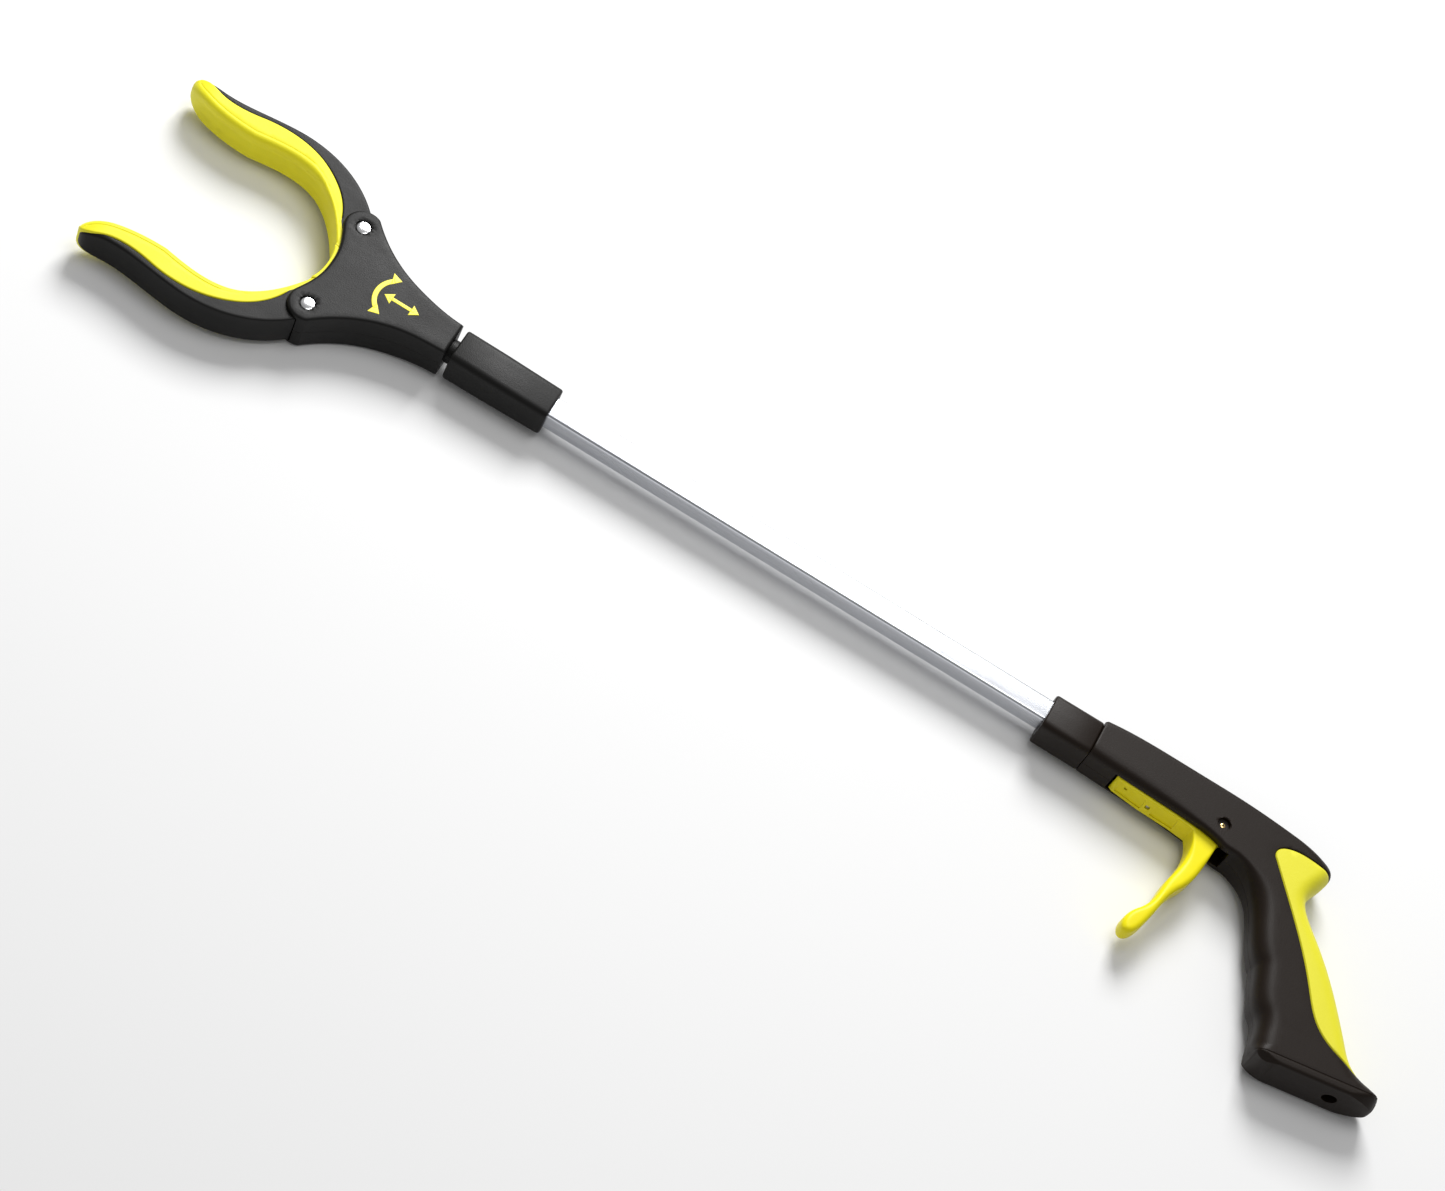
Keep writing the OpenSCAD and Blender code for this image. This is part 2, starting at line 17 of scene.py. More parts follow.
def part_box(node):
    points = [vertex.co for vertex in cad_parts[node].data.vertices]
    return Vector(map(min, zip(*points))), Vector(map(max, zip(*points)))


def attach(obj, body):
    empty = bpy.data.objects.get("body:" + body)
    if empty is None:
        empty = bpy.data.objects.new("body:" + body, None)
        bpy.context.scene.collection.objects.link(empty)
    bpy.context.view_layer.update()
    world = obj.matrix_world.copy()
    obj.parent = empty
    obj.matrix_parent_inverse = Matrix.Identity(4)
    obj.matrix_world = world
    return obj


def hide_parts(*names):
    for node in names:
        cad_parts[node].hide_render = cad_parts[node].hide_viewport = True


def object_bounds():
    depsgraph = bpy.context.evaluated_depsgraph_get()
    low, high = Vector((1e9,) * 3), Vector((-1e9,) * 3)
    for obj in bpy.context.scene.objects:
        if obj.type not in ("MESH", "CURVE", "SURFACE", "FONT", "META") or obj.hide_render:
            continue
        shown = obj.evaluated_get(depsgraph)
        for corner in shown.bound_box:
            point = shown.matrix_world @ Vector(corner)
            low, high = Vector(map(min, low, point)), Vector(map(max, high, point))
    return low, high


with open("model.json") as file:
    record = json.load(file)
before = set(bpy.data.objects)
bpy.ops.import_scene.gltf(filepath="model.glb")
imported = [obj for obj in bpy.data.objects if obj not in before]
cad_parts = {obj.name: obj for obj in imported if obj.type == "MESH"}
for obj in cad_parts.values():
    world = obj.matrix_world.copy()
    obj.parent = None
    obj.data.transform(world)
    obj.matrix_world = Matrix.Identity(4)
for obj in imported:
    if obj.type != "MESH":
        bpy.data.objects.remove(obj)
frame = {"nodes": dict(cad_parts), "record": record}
cad_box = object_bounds()

LOG = logging.getLogger("reacher")
MM = 0.001
# Angle in degrees from which an edge stays sharp.
SHARP_ANGLE = 36.0
# Points closer than this, in millimetres, count as one.
DOUBLE = 0.02
# Height of a row in a grid of triangles, as a share of its spacing.
ROW_STEP = 0.866
# Share of the spacing that a grid keeps clear beside a line.
CLEAR_STEP = 0.55
# Share of an offset from which a point beside a line counts as free of its other stretches.
FREE_SHARE = 0.985
# Smallest triangle in square millimetres, and smallest gap in millimetres.
SLIVER = 1e-7
TOUCH = 1e-4
# Width in millimetres of the fine groove round a recess.
LIP_WIDTH = 0.5
Point = tuple[float, float]
Colour = tuple[float, float, float]
Plan = np.ndarray
Faces = list[tuple[int, ...]]
Recess = tuple[Point, float, float]
BLACK: Colour = (0.0, 0.0, 0.0)
WHITE: Colour = (1.0, 1.0, 1.0)


class Body(Enum):
    """The bodies of the frame that carry pieces."""

    ROOT = "root"
    TRIGGER = "trigger"
    HEAD = "head"
    UPPER_JAW = "upper_jaw"
    LOWER_JAW = "lower_jaw"


class Stock(Enum):
    """What a piece is made of, by the record's names."""

    HANDLE_PLASTIC = "handle_plastic"
    HEAD_PLASTIC = "head_plastic"
    SOFT_GRIP = "soft_grip"
    YELLOW_RUBBER = "yellow_rubber"
    YELLOW_PLASTIC = "yellow_plastic"
    MARK_YELLOW = "mark_yellow"
    ALUMINIUM = "aluminium"
    STEEL = "steel"
    BRIGHT_STEEL = "bright_steel"
    BRASS = "brass"
    NYLON = "nylon"


# --- Shader nodes ---


class Shade:
    """A value in a material's node tree, which arithmetic turns into Math nodes."""

    def __init__(self, net: "Net", socket: bpy.types.NodeSocket) -> None:
        """Wraps an output socket."""
        self.net = net
        self.socket = socket

    def _math(self, operation: str, left: Any, right: Any, clamp: bool = False) -> "Shade":
        """One Math node on two values, each a Shade or a number."""
        settings = {"operation": operation, "use_clamp": clamp}
        return self.net.make("ShaderNodeMath", settings, {0: left, 1: right})

    def __add__(self, other: Any) -> "Shade":
        """Sum."""
        return self._math("ADD", self, other)

    __radd__ = __add__

    def __sub__(self, other: Any) -> "Shade":
        """Difference."""
        return self._math("SUBTRACT", self, other)

    def __rsub__(self, other: Any) -> "Shade":
        """Difference from a number."""
        return self._math("SUBTRACT", other, self)

    def __mul__(self, other: Any) -> "Shade":
        """Product."""
        return self._math("MULTIPLY", self, other)

    def held(self) -> "Shade":
        """The value kept from 0 to 1."""
        return self._math("ADD", self, 0.0, clamp=True)

    def swing(self, amount: float) -> "Shade":
        """The value centred on 0 and scaled."""
        return (self - 0.5) * amount


class Net:
    """The node tree of one material."""

    def __init__(self, name: str) -> None:
        """Starts a material with only its output node."""
        self.material = bpy.data.materials.new(name)
        self.material.use_nodes = True
        self.tree = self.material.node_tree
        self.tree.nodes.clear()
        self.place = self.make("ShaderNodeTexCoord", {}, {}, "Object")

    def make(
        self,
        kind: str,
        settings: dict[str, Any],
        inputs: dict[Union[int, str], Any],
        out: Union[int, str] = 0,
    ) -> Shade:
        """Adds a node.

        Args:
            kind: the node's type.
            settings: properties of the node, set first.
            inputs: values or Shades by socket name or number.
            out: which output is wanted.

        Returns:
            That output.
        """
        node = self.tree.nodes.new(kind)
        for key, value in settings.items():
            setattr(node, key, value)
        for key, value in inputs.items():
            if isinstance(value, Shade):
                self.tree.links.new(value.socket, node.inputs[key])
            else:
                node.inputs[key].default_value = value
        return Shade(self, node.outputs[out])

    def noise(self, scale: float, detail: float = 2.0, stretch: Sequence[float] = (1, 1, 1)) -> Shade:
        """Cloudy noise from 0 to 1.

        Args:
            scale: cells per metre.
            detail: octaves.
            stretch: how much denser the noise is along each axis.

        Returns:
            The noise's factor.
        """
        spread = self.make("ShaderNodeMapping", {}, {"Vector": self.place, "Scale": tuple(stretch)})
        inputs = {"Vector": spread, "Scale": scale, "Detail": detail, "Roughness": 0.6}
        return self.make("ShaderNodeTexNoise", {}, inputs)

    def pits(self, scale: float) -> Shade:
        """Distance to the nearest cell centre of a spark-eroded grain, from 0 to about 1."""
        return self.make("ShaderNodeTexVoronoi", {}, {"Vector": self.place, "Scale": scale})

    def wear(self, radius: float, gain: float) -> Shade:
        """Mask of edges and corners, from 0 on flats to 1.

        Args:
            radius: how far from an edge it reaches, in metres.
            gain: how fast it rises.

        Returns:
            The mask.
        """
        soft = self.make("ShaderNodeBevel", {"samples": 4}, {"Radius": radius})
        true = self.make("ShaderNodeNewGeometry", {}, {}, "Normal")
        same = self.make("ShaderNodeVectorMath", {"operation": "DOT_PRODUCT"}, {0: soft, 1: true}, "Value")
        return ((1.0 - same) * gain).held()

    def blend(self, factor: Any, low: Any, high: Any) -> Shade:
        """Mixes two colours by a factor."""
        low, high = ((*c, 1.0) if isinstance(c, tuple) else c for c in (low, high))
        return self.make("ShaderNodeMix", {"data_type": "RGBA"}, {0: factor, 6: low, 7: high}, 2)

    def bump(self, height: Shade, depth: float, strength: float = 1.0) -> Shade:
        """Normal from a height, of which 1 stands for the depth in metres."""
        return self.make("ShaderNodeBump", {}, {"Height": height, "Distance": depth, "Strength": strength})

    def surface(self, **inputs: Any) -> bpy.types.Material:
        """Closes the tree with a Principled shader.

        Args:
            inputs: its sockets, with _ for spaces.

        Returns:
            The finished material.
        """
        sockets = {key.replace("_", " "): value for key, value in inputs.items()}
        shader = self.make("ShaderNodeBsdfPrincipled", {}, sockets)
        node = self.tree.nodes.new("ShaderNodeOutputMaterial")
        self.tree.links.new(shader.socket, node.inputs["Surface"])
        return self.material


def mixed(low: Colour, high: Colour, share: float) -> Colour:
    """A colour between two others."""
    return tuple(a + (b - a) * share for a, b in zip(low, high))


@dataclass(frozen=True)
class Finish:
    """What every finish states.

    Attributes:
        name: the material's name.
        colour: its clean colour.
        other: its colour where it is worn, shaded, stained or rubbed off.
        rough: mean roughness.
        depth: depth of its texture in metres.
        edge: reach of the wear from an edge in metres, and how fast it rises.
    """

    name: str
    colour: Colour
    other: Colour
    rough: float = 0.46
    depth: float = 0.00006
    edge: tuple[float, float] = (0.0007, 2.2)

    def build(self) -> bpy.types.Material:
        """Makes the material."""
        raise NotImplementedError


@dataclass(frozen=True)
class MouldedPlastic(Finish):
    """Injection moulded plastic with a spark-eroded grain, polished where hands rub it.

    Attributes:
        grain: cells of the grain per metre.
        cloud: how much darker its clouds are.
        shine: how much light the surface throws back.
        scales: clouds and scuffs per metre.
        shares: how much the grain darkens and the wear lightens.
        vary: swing of the roughness with clouds, scuffs, wear and grain.
    """

    grain: float = 1700.0
    cloud: float = 0.16
    shine: float = 0.2
    scales: tuple[float, float] = (38.0, 260.0)
    shares: tuple[float, float] = (0.35, 0.5)
    vary: tuple[float, float, float, float] = (0.16, 0.1, 0.1, 0.08)

    def build(self) -> bpy.types.Material:
        """Makes the material."""
        net = Net(self.name)
        grain = net.pits(self.grain)
        fine = net.noise(self.grain * 2.2, 3)
        cloud = net.noise(self.scales[0], 4)
        scuffs = net.noise(self.scales[1], 2, (0.12, 1, 1))
        wear = net.wear(*self.edge)
        tint = net.blend(cloud, mixed(self.colour, BLACK, self.cloud), self.colour)
        tint = net.blend(grain * self.shares[0], tint, mixed(self.colour, BLACK, self.cloud * 1.4))
        tint = net.blend(wear * self.shares[1], tint, self.other)
        by_cloud, by_scuff, by_wear, by_grain = self.vary
        rough = self.rough + cloud.swing(by_cloud) + scuffs.swing(by_scuff) - wear * by_wear
        rough = (rough + grain.swing(by_grain)).held()
        normal = net.bump(grain * 0.75 + fine * 0.25, self.depth)
        return net.surface(Base_Color=tint, Roughness=rough, Normal=normal, Specular_IOR_Level=self.shine)


@dataclass(frozen=True)
class SoftRubber(Finish):
    """Soft overmoulded rubber: matt, lightly dusted, with a fine leathery skin.

    Attributes:
        grain: folds of the skin per metre.
        clouds: clouds per metre.
        dust: how much of the surface scatters like fine dust.
        bleached: the colour that worn edges tend to.
    """

    rough: float = 0.58
    depth: float = 0.00009
    edge: tuple[float, float] = (0.0009, 1.6)
    grain: float = 900.0
    clouds: float = 45.0
    dust: float = 0.06
    bleached: Colour = (1.0, 1.0, 0.8)

    def build(self) -> bpy.types.Material:
        """Makes the material."""
        net = Net(self.name)
        skin = net.noise(self.grain, 4)
        cells = net.pits(self.grain * 1.6)
        cloud = net.noise(self.clouds, 3)
        wear = net.wear(*self.edge)
        tint = net.blend(cloud * 0.5 + skin * 0.22, self.colour, self.other)
        tint = net.blend(wear * 0.35, tint, mixed(self.colour, self.bleached, 0.15))
        rough = (self.rough + cloud.swing(0.14) + skin.swing(0.1)).held()
        normal = net.bump(skin * 0.6 + cells * 0.4, self.depth)
        return net.surface(Base_Color=tint, Roughness=rough, Normal=normal, Sheen_Weight=self.dust)


@dataclass(frozen=True)
class DrawnMetal(Finish):
    """Metal with fine lines from drawing or turning, and faint stains.

    Attributes:
        stretch: how dense the lines are along each axis.
        scales: fine lines, bands and stains per metre.
    """

    rough: float = 0.24
    depth: float = 0.00001
    edge: tuple[float, float] = (0.0004, 1.5)
    stretch: tuple[float, float, float] = (0.02, 1.0, 1.0)
    scales: tuple[float, float, float] = (2600.0, 300.0, 22.0)

    def build(self) -> bpy.types.Material:
        """Makes the material."""
        net = Net(self.name)
        lines = net.noise(self.scales[0], 2, self.stretch)
        bands = net.noise(self.scales[1], 2, self.stretch)
        cloud = net.noise(self.scales[2], 4)
        wear = net.wear(*self.edge)
        streak = (bands - 0.35) * 2.2
        tint = net.blend((cloud * 0.4 + streak * 0.6).held(), self.colour, self.other)
        tint = net.blend(wear * 0.4, tint, mixed(self.colour, WHITE, 0.3))
        rough = (self.rough + lines.swing(0.12) + cloud.swing(0.1)).held()
        normal = net.bump(lines * 0.7 + bands * 0.3, self.depth, 0.6)
        return net.surface(Base_Color=tint, Metallic=1.0, Roughness=rough, Normal=normal)


@dataclass(frozen=True)
class PrintedInk(Finish):
    """Printed marks: thin matt ink that has rubbed a little.

    Attributes:
        scales: specks and clouds per metre.
    """

    rough: float = 0.42
    depth: float = 0.00002
    scales: tuple[float, float] = (1900.0, 120.0)

    def build(self) -> bpy.types.Material:
        """Makes the material."""
        net = Net(self.name)
        specks = net.noise(self.scales[0], 3)
        cloud = net.noise(self.scales[1], 3)
        rubbed = ((specks - 0.66) * 5.0).held() * ((cloud - 0.45) * 3.0).held()
        tint = net.blend(rubbed * 0.7, self.colour, self.other)
        rough = (self.rough + cloud.swing(0.12)).held()
        return net.surface(Base_Color=tint, Roughness=rough, Normal=net.bump(specks, self.depth))


FINISHES: dict[Stock, Finish] = {
    Stock.HANDLE_PLASTIC: MouldedPlastic(
        "brown_black_plastic", (0.0112, 0.0064, 0.0036), (0.034, 0.023, 0.016)
    ),
    Stock.HEAD_PLASTIC: MouldedPlastic("charcoal_plastic", (0.0066, 0.0063, 0.0058), (0.026, 0.0245, 0.023)),
    Stock.SOFT_GRIP: SoftRubber("thumb_rest_rubber", (0.74, 0.70, 0.010), (0.62, 0.57, 0.008)),
    Stock.YELLOW_RUBBER: SoftRubber("jaw_pad_rubber", (0.90, 0.84, 0.003), (0.76, 0.69, 0.003), grain=1100),
    Stock.YELLOW_PLASTIC: MouldedPlastic(
        "trigger_plastic", (0.90, 0.79, 0.008), (0.96, 0.88, 0.10), rough=0.36, depth=0.00003, cloud=0.10
    ),
    Stock.MARK_YELLOW: PrintedInk("mark_ink", (0.92, 0.82, 0.01), (0.05, 0.045, 0.03)),
    Stock.ALUMINIUM: DrawnMetal("drawn_aluminium", (0.70, 0.715, 0.75), (0.50, 0.515, 0.555), rough=0.25),
    Stock.STEEL: DrawnMetal("zinc_plated_steel", (0.62, 0.63, 0.65), (0.45, 0.45, 0.44), rough=0.30),
    Stock.BRIGHT_STEEL: DrawnMetal(
        "polished_steel", (0.90, 0.90, 0.91), (0.78, 0.79, 0.80), rough=0.14, stretch=(1, 1, 0.05)
    ),
    Stock.BRASS: DrawnMetal(
        "turned_brass", (0.86, 0.62, 0.28), (0.62, 0.40, 0.14), rough=0.22, stretch=(1, 1, 0.05)
    ),
    Stock.NYLON: MouldedPlastic("white_nylon", (0.62, 0.60, 0.54), (0.70, 0.69, 0.64), rough=0.4, cloud=0.08),
}


class Paintshop:
    """Makes each finish once and hands it out."""

    def __init__(self) -> None:
        """Starts with nothing made."""
        self.made: dict[Stock, bpy.types.Material] = {}

    def of(self, stock: Stock) -> bpy.types.Material:
        """The material of a stock."""
        if stock not in self.made:
            self.made[stock] = FINISHES[stock].build()
        return self.made[stock]


# --- Lines in plan ---


def curve(start: Point, *legs: tuple[Point, Point, Point, int]) -> list[Point]:
    """Points along joined cubic curves, without the last one.

    Args:
        start: where the first leg starts.
        legs: both handles, the end and the number of points of each leg.

    Returns:
        The points.
    """
    rows = []
    for first, second, end, count in legs:
        for i in range(count):
            t = i / count
            s = 1 - t
            weights = (s**3, 3 * s * s * t, 3 * s * t * t, t**3)
            corners = (start, first, second, end)
            rows.append(tuple(sum(w * p[k] for w, p in zip(weights, corners)) for k in (0, 1)))
        start = end
    return rows


def arc(centre: Point, radius: float, start: float, end: float, count: int = 24) -> list[Point]:
    """Points of an arc between two angles in degrees, both ends in."""
    turns = (math.radians(start + (end - start) * i / count) for i in range(count + 1))
    return [(centre[0] + radius * math.cos(a), centre[1] + radius * math.sin(a)) for a in turns]


def oblong(x0: float, y0: float, x1: float, y1: float) -> list[Point]:
    """Corners of an upright rectangle, counter-clockwise."""
    return [(x0, y0), (x1, y0), (x1, y1), (x0, y1)]


def below(points: Sequence[Point]) -> list[Point]:
    """The points mirrored to the other side of the tube's axis, in reverse order."""
    return [(x, -y) for x, y in reversed(points)]


class Line:
    """A line in plan, in millimetres, that a moulding's mesh follows."""

    def __init__(self, points: Sequence[Point], closed: bool = True, step: float = 2.0) -> None:
        """Keeps the points, drops doubles and divides long straights.

        Args:
            points: the corners.
            closed: whether the last point joins the first.
            step: longest stretch between two points.
        """
        ends = list(points) + ([points[0]] if closed else [])
        rows: list[Point] = []
        for a, b in zip(ends, ends[1:]):
            length = math.dist(a, b)
            if length < DOUBLE:
                continue
            parts = max(1, math.ceil(length / step))
            rows += [tuple(a[k] + (b[k] - a[k]) * i / parts for k in (0, 1)) for i in range(parts)]
        if not closed:
            rows.append(tuple(ends[-1]))
        self.points = np.array(rows)
        self.closed = closed

    def _segments(self) -> tuple[Plan, Plan]:
        """Starts and ends of the stretches."""
        after = np.roll(self.points, -1, axis=0)
        last = len(self.points) if self.closed else len(self.points) - 1
        return self.points[:last], after[:last]

    def distance(self, at: Plan) -> Plan:
        """Distance from each of some points to the line."""
        start, end = self._segments()
        along = end - start
        size = (along**2).sum(1)
        best = np.full(len(at), np.inf)
        for k in range(len(start)):
            share = np.clip(((at - start[k]) @ along[k]) / size[k], 0, 1)
            gap = at - start[k] - share[:, None] * along[k]
            best = np.minimum(best, (gap**2).sum(1))
        return np.sqrt(best)

    def inside(self, at: Plan) -> Plan:
        """Whether each of some points lies inside the closed line."""
        start, end = self._segments()
        odd = np.zeros(len(at), bool)
        for (x0, y0), (x1, y1) in zip(start, end):
            if y0 == y1:
                continue
            crosses = (y0 > at[:, 1]) != (y1 > at[:, 1])
            odd ^= crosses & (at[:, 0] < (x1 - x0) * (at[:, 1] - y0) / (y1 - y0) + x0)
        return odd

    def beside(self, offset: float) -> Iterable[tuple[Plan, Plan]]:
        """Parallel lines on both sides.

        Args:
            offset: distance from the line.

        Yields:
            Points, and whether each is really that far from the whole line.
        """
        before, after = np.roll(self.points, 1, axis=0), np.roll(self.points, -1, axis=0)
        if not self.closed:
            before[0], after[-1] = self.points[0], self.points[-1]
        along = after - before
        along /= np.maximum(np.sqrt((along**2).sum(1)), 1e-9)[:, None]
        across = np.stack([-along[:, 1], along[:, 0]], 1)
        for side in (-1, 1):
            moved = self.points + side * offset * across
            yield moved, self.distance(moved) > offset * FREE_SHARE


def ring_of(centre: Point, radius: float, count: int = 40) -> Line:
    """A closed circle."""
    return Line(arc(centre, radius, 0, 360 - 360 / count, count - 1))


def rounded(depth: Plan, radius: Union[float, Plan]) -> Plan:
    """How far a quarter round lies under its top: 1 at the edge, 0 from the radius inwards."""
    share = np.clip(1 - depth / radius, 0, 1)
    return 1 - np.sqrt(1 - share**2)


def eased(values: Plan, low: float, high: float) -> Plan:
    """A smooth step from 0 at low to 1 at high."""
    t = np.clip((values - low) / (high - low), 0, 1)
    return t * t * (3 - 2 * t)


def groove(depth: Plan, width: float, deep: float) -> Plan:
    """Depth of a soft V groove along a line, by the distance from the line."""
    return deep * np.clip(1 - depth / width, 0, 1) ** 1.5


def recess_lines(recesses: Sequence[Recess]) -> list[tuple[Line, Sequence[float]]]:
    """Rings that a mesh follows round some recesses, each a centre, a radius and a depth."""
    lines: list[tuple[Line, Sequence[float]]] = []
    for spot, radius, _ in recesses:
        lines += [(ring_of(spot, radius), (LIP_WIDTH,)), (ring_of(spot, radius - 0.1), ())]
    return lines


def sunk(height: Plan, at: Plan, recesses: Sequence[Recess], face: float, lip: float) -> Plan:
    """Heights with round recesses sunk into them.

    Args:
        height: heights without them.
        at: points in plan.
        recesses: centre, radius and depth of each.
        face: height that the depths are measured from.
        lip: depth of the fine groove round each.

    Returns:
        The new heights.
    """
    for spot, radius, deep in recesses:
        away = np.hypot(at[:, 0] - spot[0], at[:, 1] - spot[1])
        rim = groove(away - radius, LIP_WIDTH, lip) * (away > radius)
        height = np.where(away < radius - 0.05, face - deep, height - rim)
    return height


# --- Meshes ---


@dataclass
class Shape:
    """A mesh in millimetres, measured from its sub-assembly's origin."""

    points: Plan
    faces: Faces

    def flipped(self) -> "Shape":
        """The same shape on the other side of the parting plane."""
        return Shape(self.points * (1, 1, -1), [f[::-1] for f in self.faces])

    def turned_over(self) -> "Shape":
        """The same shape turned half round about the tube's axis."""
        return Shape(self.points * (1, -1, -1), list(self.faces))

    def joined(self, other: "Shape") -> "Shape":
        """Both shapes as one."""
        shift = len(self.points)
        more = [tuple(i + shift for i in f) for f in other.faces]
        return Shape(np.vstack([self.points, other.points]), self.faces + more)


@dataclass
class Relief:
    """A moulding drawn in plan, with a height over each point.

    Attributes:
        lines: lines that the mesh follows, each with the distances of the lines beside it.
        keep: which points of the plan are in the moulding.
        top: height over each point.
        base: height of the flat underside, or None where the underside mirrors the top.
        spacing: distance between points on the open surface.
        dish: how far the middle of the wall is hollowed at each point, or None where walls are straight.
    """

    lines: Sequence[tuple[Line, Sequence[float]]]
    keep: Callable[[Plan], Plan]
    top: Callable[[Plan], Plan]
    base: Optional[float] = None
    spacing: float = 2.6
    dish: Optional[Callable[[Plan], Plan]] = None
    _points: list[Plan] = field(default_factory=list)
    _edges: list[tuple[int, int]] = field(default_factory=list)

    def _add(self, points: Plan, good: Plan, closed: bool) -> None:
        """Adds a row of points and the edges between good neighbours."""
        start = sum(len(p) for p in self._points)
        place = np.cumsum(good) - 1 + start
        self._points.append(points[good])
        last = len(points) if closed else len(points) - 1
        for i in range(last):
            j = (i + 1) % len(points)
            if good[i] and good[j]:
                self._edges.append((int(place[i]), int(place[j])))

    def _grid(self) -> Plan:
        """Points of the open surface, on a grid of triangles."""
        corner = np.vstack([line.points for line, _ in self.lines])
        low, high = corner.min(0), corner.max(0)
        rows = []
        for j in range(int((high[1] - low[1]) / (self.spacing * ROW_STEP)) + 1):
            y = low[1] + j * self.spacing * ROW_STEP
            shift = self.spacing / 2 * (j % 2)
            count = int((high[0] - low[0]) / self.spacing) + 1
            rows += [(low[0] + shift + i * self.spacing, y) for i in range(count)]
        at = np.array(rows)
        good = self.keep(at)
        at = at[good]
        for line, offsets in self.lines:
            at = at[line.distance(at) > max([0, *offsets]) + self.spacing * CLEAR_STEP]
        return at

    def shape(self) -> Shape:
        """Builds the closed mesh."""
        for line, offsets in self.lines:
            self._add(line.points, np.ones(len(line.points), bool), line.closed)
            for offset in offsets:
                for points, good in line.beside(offset):
                    self._add(points, good & self.keep(points), line.closed)
        self._points.append(self._grid())
        flat = [Vector(p) for p in np.vstack(self._points).tolist()]
        plan, _, cells, *_ = delaunay_2d_cdt(flat, self._edges, [], 0, TOUCH)
        at = np.array([tuple(p) for p in plan])
        cells = np.array([tuple(c) for c in cells])
        centre = at[cells].mean(1)
        cells = cells[self.keep(centre)]
        a, b, c = at[cells[:, 0]], at[cells[:, 1]], at[cells[:, 2]]
        area = (b - a)[:, 0] * (c - a)[:, 1] - (b - a)[:, 1] * (c - a)[:, 0]
        whole = np.abs(area) > SLIVER
        cells, area = cells[whole], area[whole]
        cells[area < 0] = cells[area < 0][:, ::-1]
        used = np.unique(cells)
        renamed = np.full(len(at), -1)
        renamed[used] = np.arange(len(used))
        cells, at = renamed[cells], at[used]
        return self._closed(at, cells)

    def _closed(self, at: Plan, cells: Plan) -> Shape:
        """Gives the flat cells their heights, an underside and walls.

        Args:
            at: points in plan.
            cells: triangles.

        Returns:
            The closed shape.
        """
        top = self.top(at)
        under = -top if self.base is None else np.full(len(at), self.base)
        count = len(at)
        points = np.vstack([np.column_stack([at, top]), np.column_stack([at, under])])
        faces: Faces = [tuple(map(int, c)) for c in cells]
        faces += [tuple(int(i) + count for i in c[::-1]) for c in cells]
        pairs = {pair for a, b, c in cells.tolist() for pair in ((a, b), (b, c), (c, a))}
        after = {a: b for a, b in pairs if (b, a) not in pairs}
        if self.dish is None:
            faces += [(a, a + count, b + count, b) for a, b in after.items()]
            return Shape(points, faces)
        return self._dished(points, faces, after)

    def _dished(self, points: Plan, faces: Faces, after: dict[int, int]) -> Shape:
        """Closes the shape with walls that are hollowed between two rims.

        Args:
            points: top points, then underside points.
            faces: top and underside faces.
            after: the next point along the edge, by point.

        Returns:
            The closed shape.
        """
        count, rows = len(points) // 2, 9
        before = {b: a for a, b in after.items()}
        deep = self.dish(points[:count, :2])
        start = {}
        more = []
        for a in after:
            along = points[after[a], :2] - points[before[a], :2]
            inward = np.array((-along[1], along[0])) / max(np.hypot(*along), 1e-9)
            start[a] = 2 * count + len(more)
            for row in range(1, rows + 1):
                share = row / (rows + 1)
                place = points[a] + (points[a + count] - points[a]) * share
                place[:2] += inward * deep[a] * eased(np.array(min(share, 1 - share)), 0.05, 0.3)
                more.append(place)
        for a, b in after.items():
            column = [[c, *range(start[c], start[c] + rows), c + count] for c in (a, b)]
            for k in range(rows + 1):
                faces.append((column[0][k], column[0][k + 1], column[1][k + 1], column[1][k]))
        return Shape(np.vstack([points, np.array(more)]), faces)


def lathe(profile: Sequence[Point], centre: Sequence[float] = (0, 0, 0), sides: int = 48) -> Shape:
    """Turns a profile about a line along Z.

    Args:
        profile: radius and height pairs from the lower end to the upper, both ends at radius 0.
        centre: where the line stands.
        sides: number of sides.

    Returns:
        The closed shape.
    """
    points, faces = [], []
    x, y, z = centre
    body = profile[1:-1]
    for radius, height in body:
        for k in range(sides):
            a = 2 * math.pi * k / sides
            points.append((x + radius * math.cos(a), y + radius * math.sin(a), z + height))
    for i in range(len(body) - 1):
        for k in range(sides):
            n = (k + 1) % sides
            faces.append((i * sides + k, i * sides + n, (i + 1) * sides + n, (i + 1) * sides + k))
    low = len(points)
    points += [(x, y, z + profile[0][1]), (x, y, z + profile[-1][1])]
    top = (len(body) - 1) * sides
    for k in range(sides):
        n = (k + 1) % sides
        faces += [(low, n, k), (low + 1, top + k, top + n)]
    return Shape(np.array(points, float), faces)


@dataclass(frozen=True)
class Section:
    """A round rectangle across the tube's axis.

    Attributes:
        x: place along the axis.
        half: half height and half width.
        corner: radius of its corners.
        middle: height of its centre.
    """

    x: float
    half: Point
    corner: float
    middle: float = 0.0

    def points(self, steps: int = 7) -> list[tuple[float, float, float]]:
        """The section's points, counter-clockwise seen from +X, with some steps round each corner."""
        rows = []
        high, wide = self.half
        for k in range(4):
            sy, sz = ((1, 1), (-1, 1), (-1, -1), (1, -1))[k]
            cy, cz = sy * (high - self.corner), sz * (wide - self.corner)
            for i in range(steps + 1):
                a = math.radians(90 * (k + i / steps))
                y, z = cy + self.corner * math.cos(a), cz + self.corner * math.sin(a)
                rows.append((self.x, self.middle + y, z))
        return rows


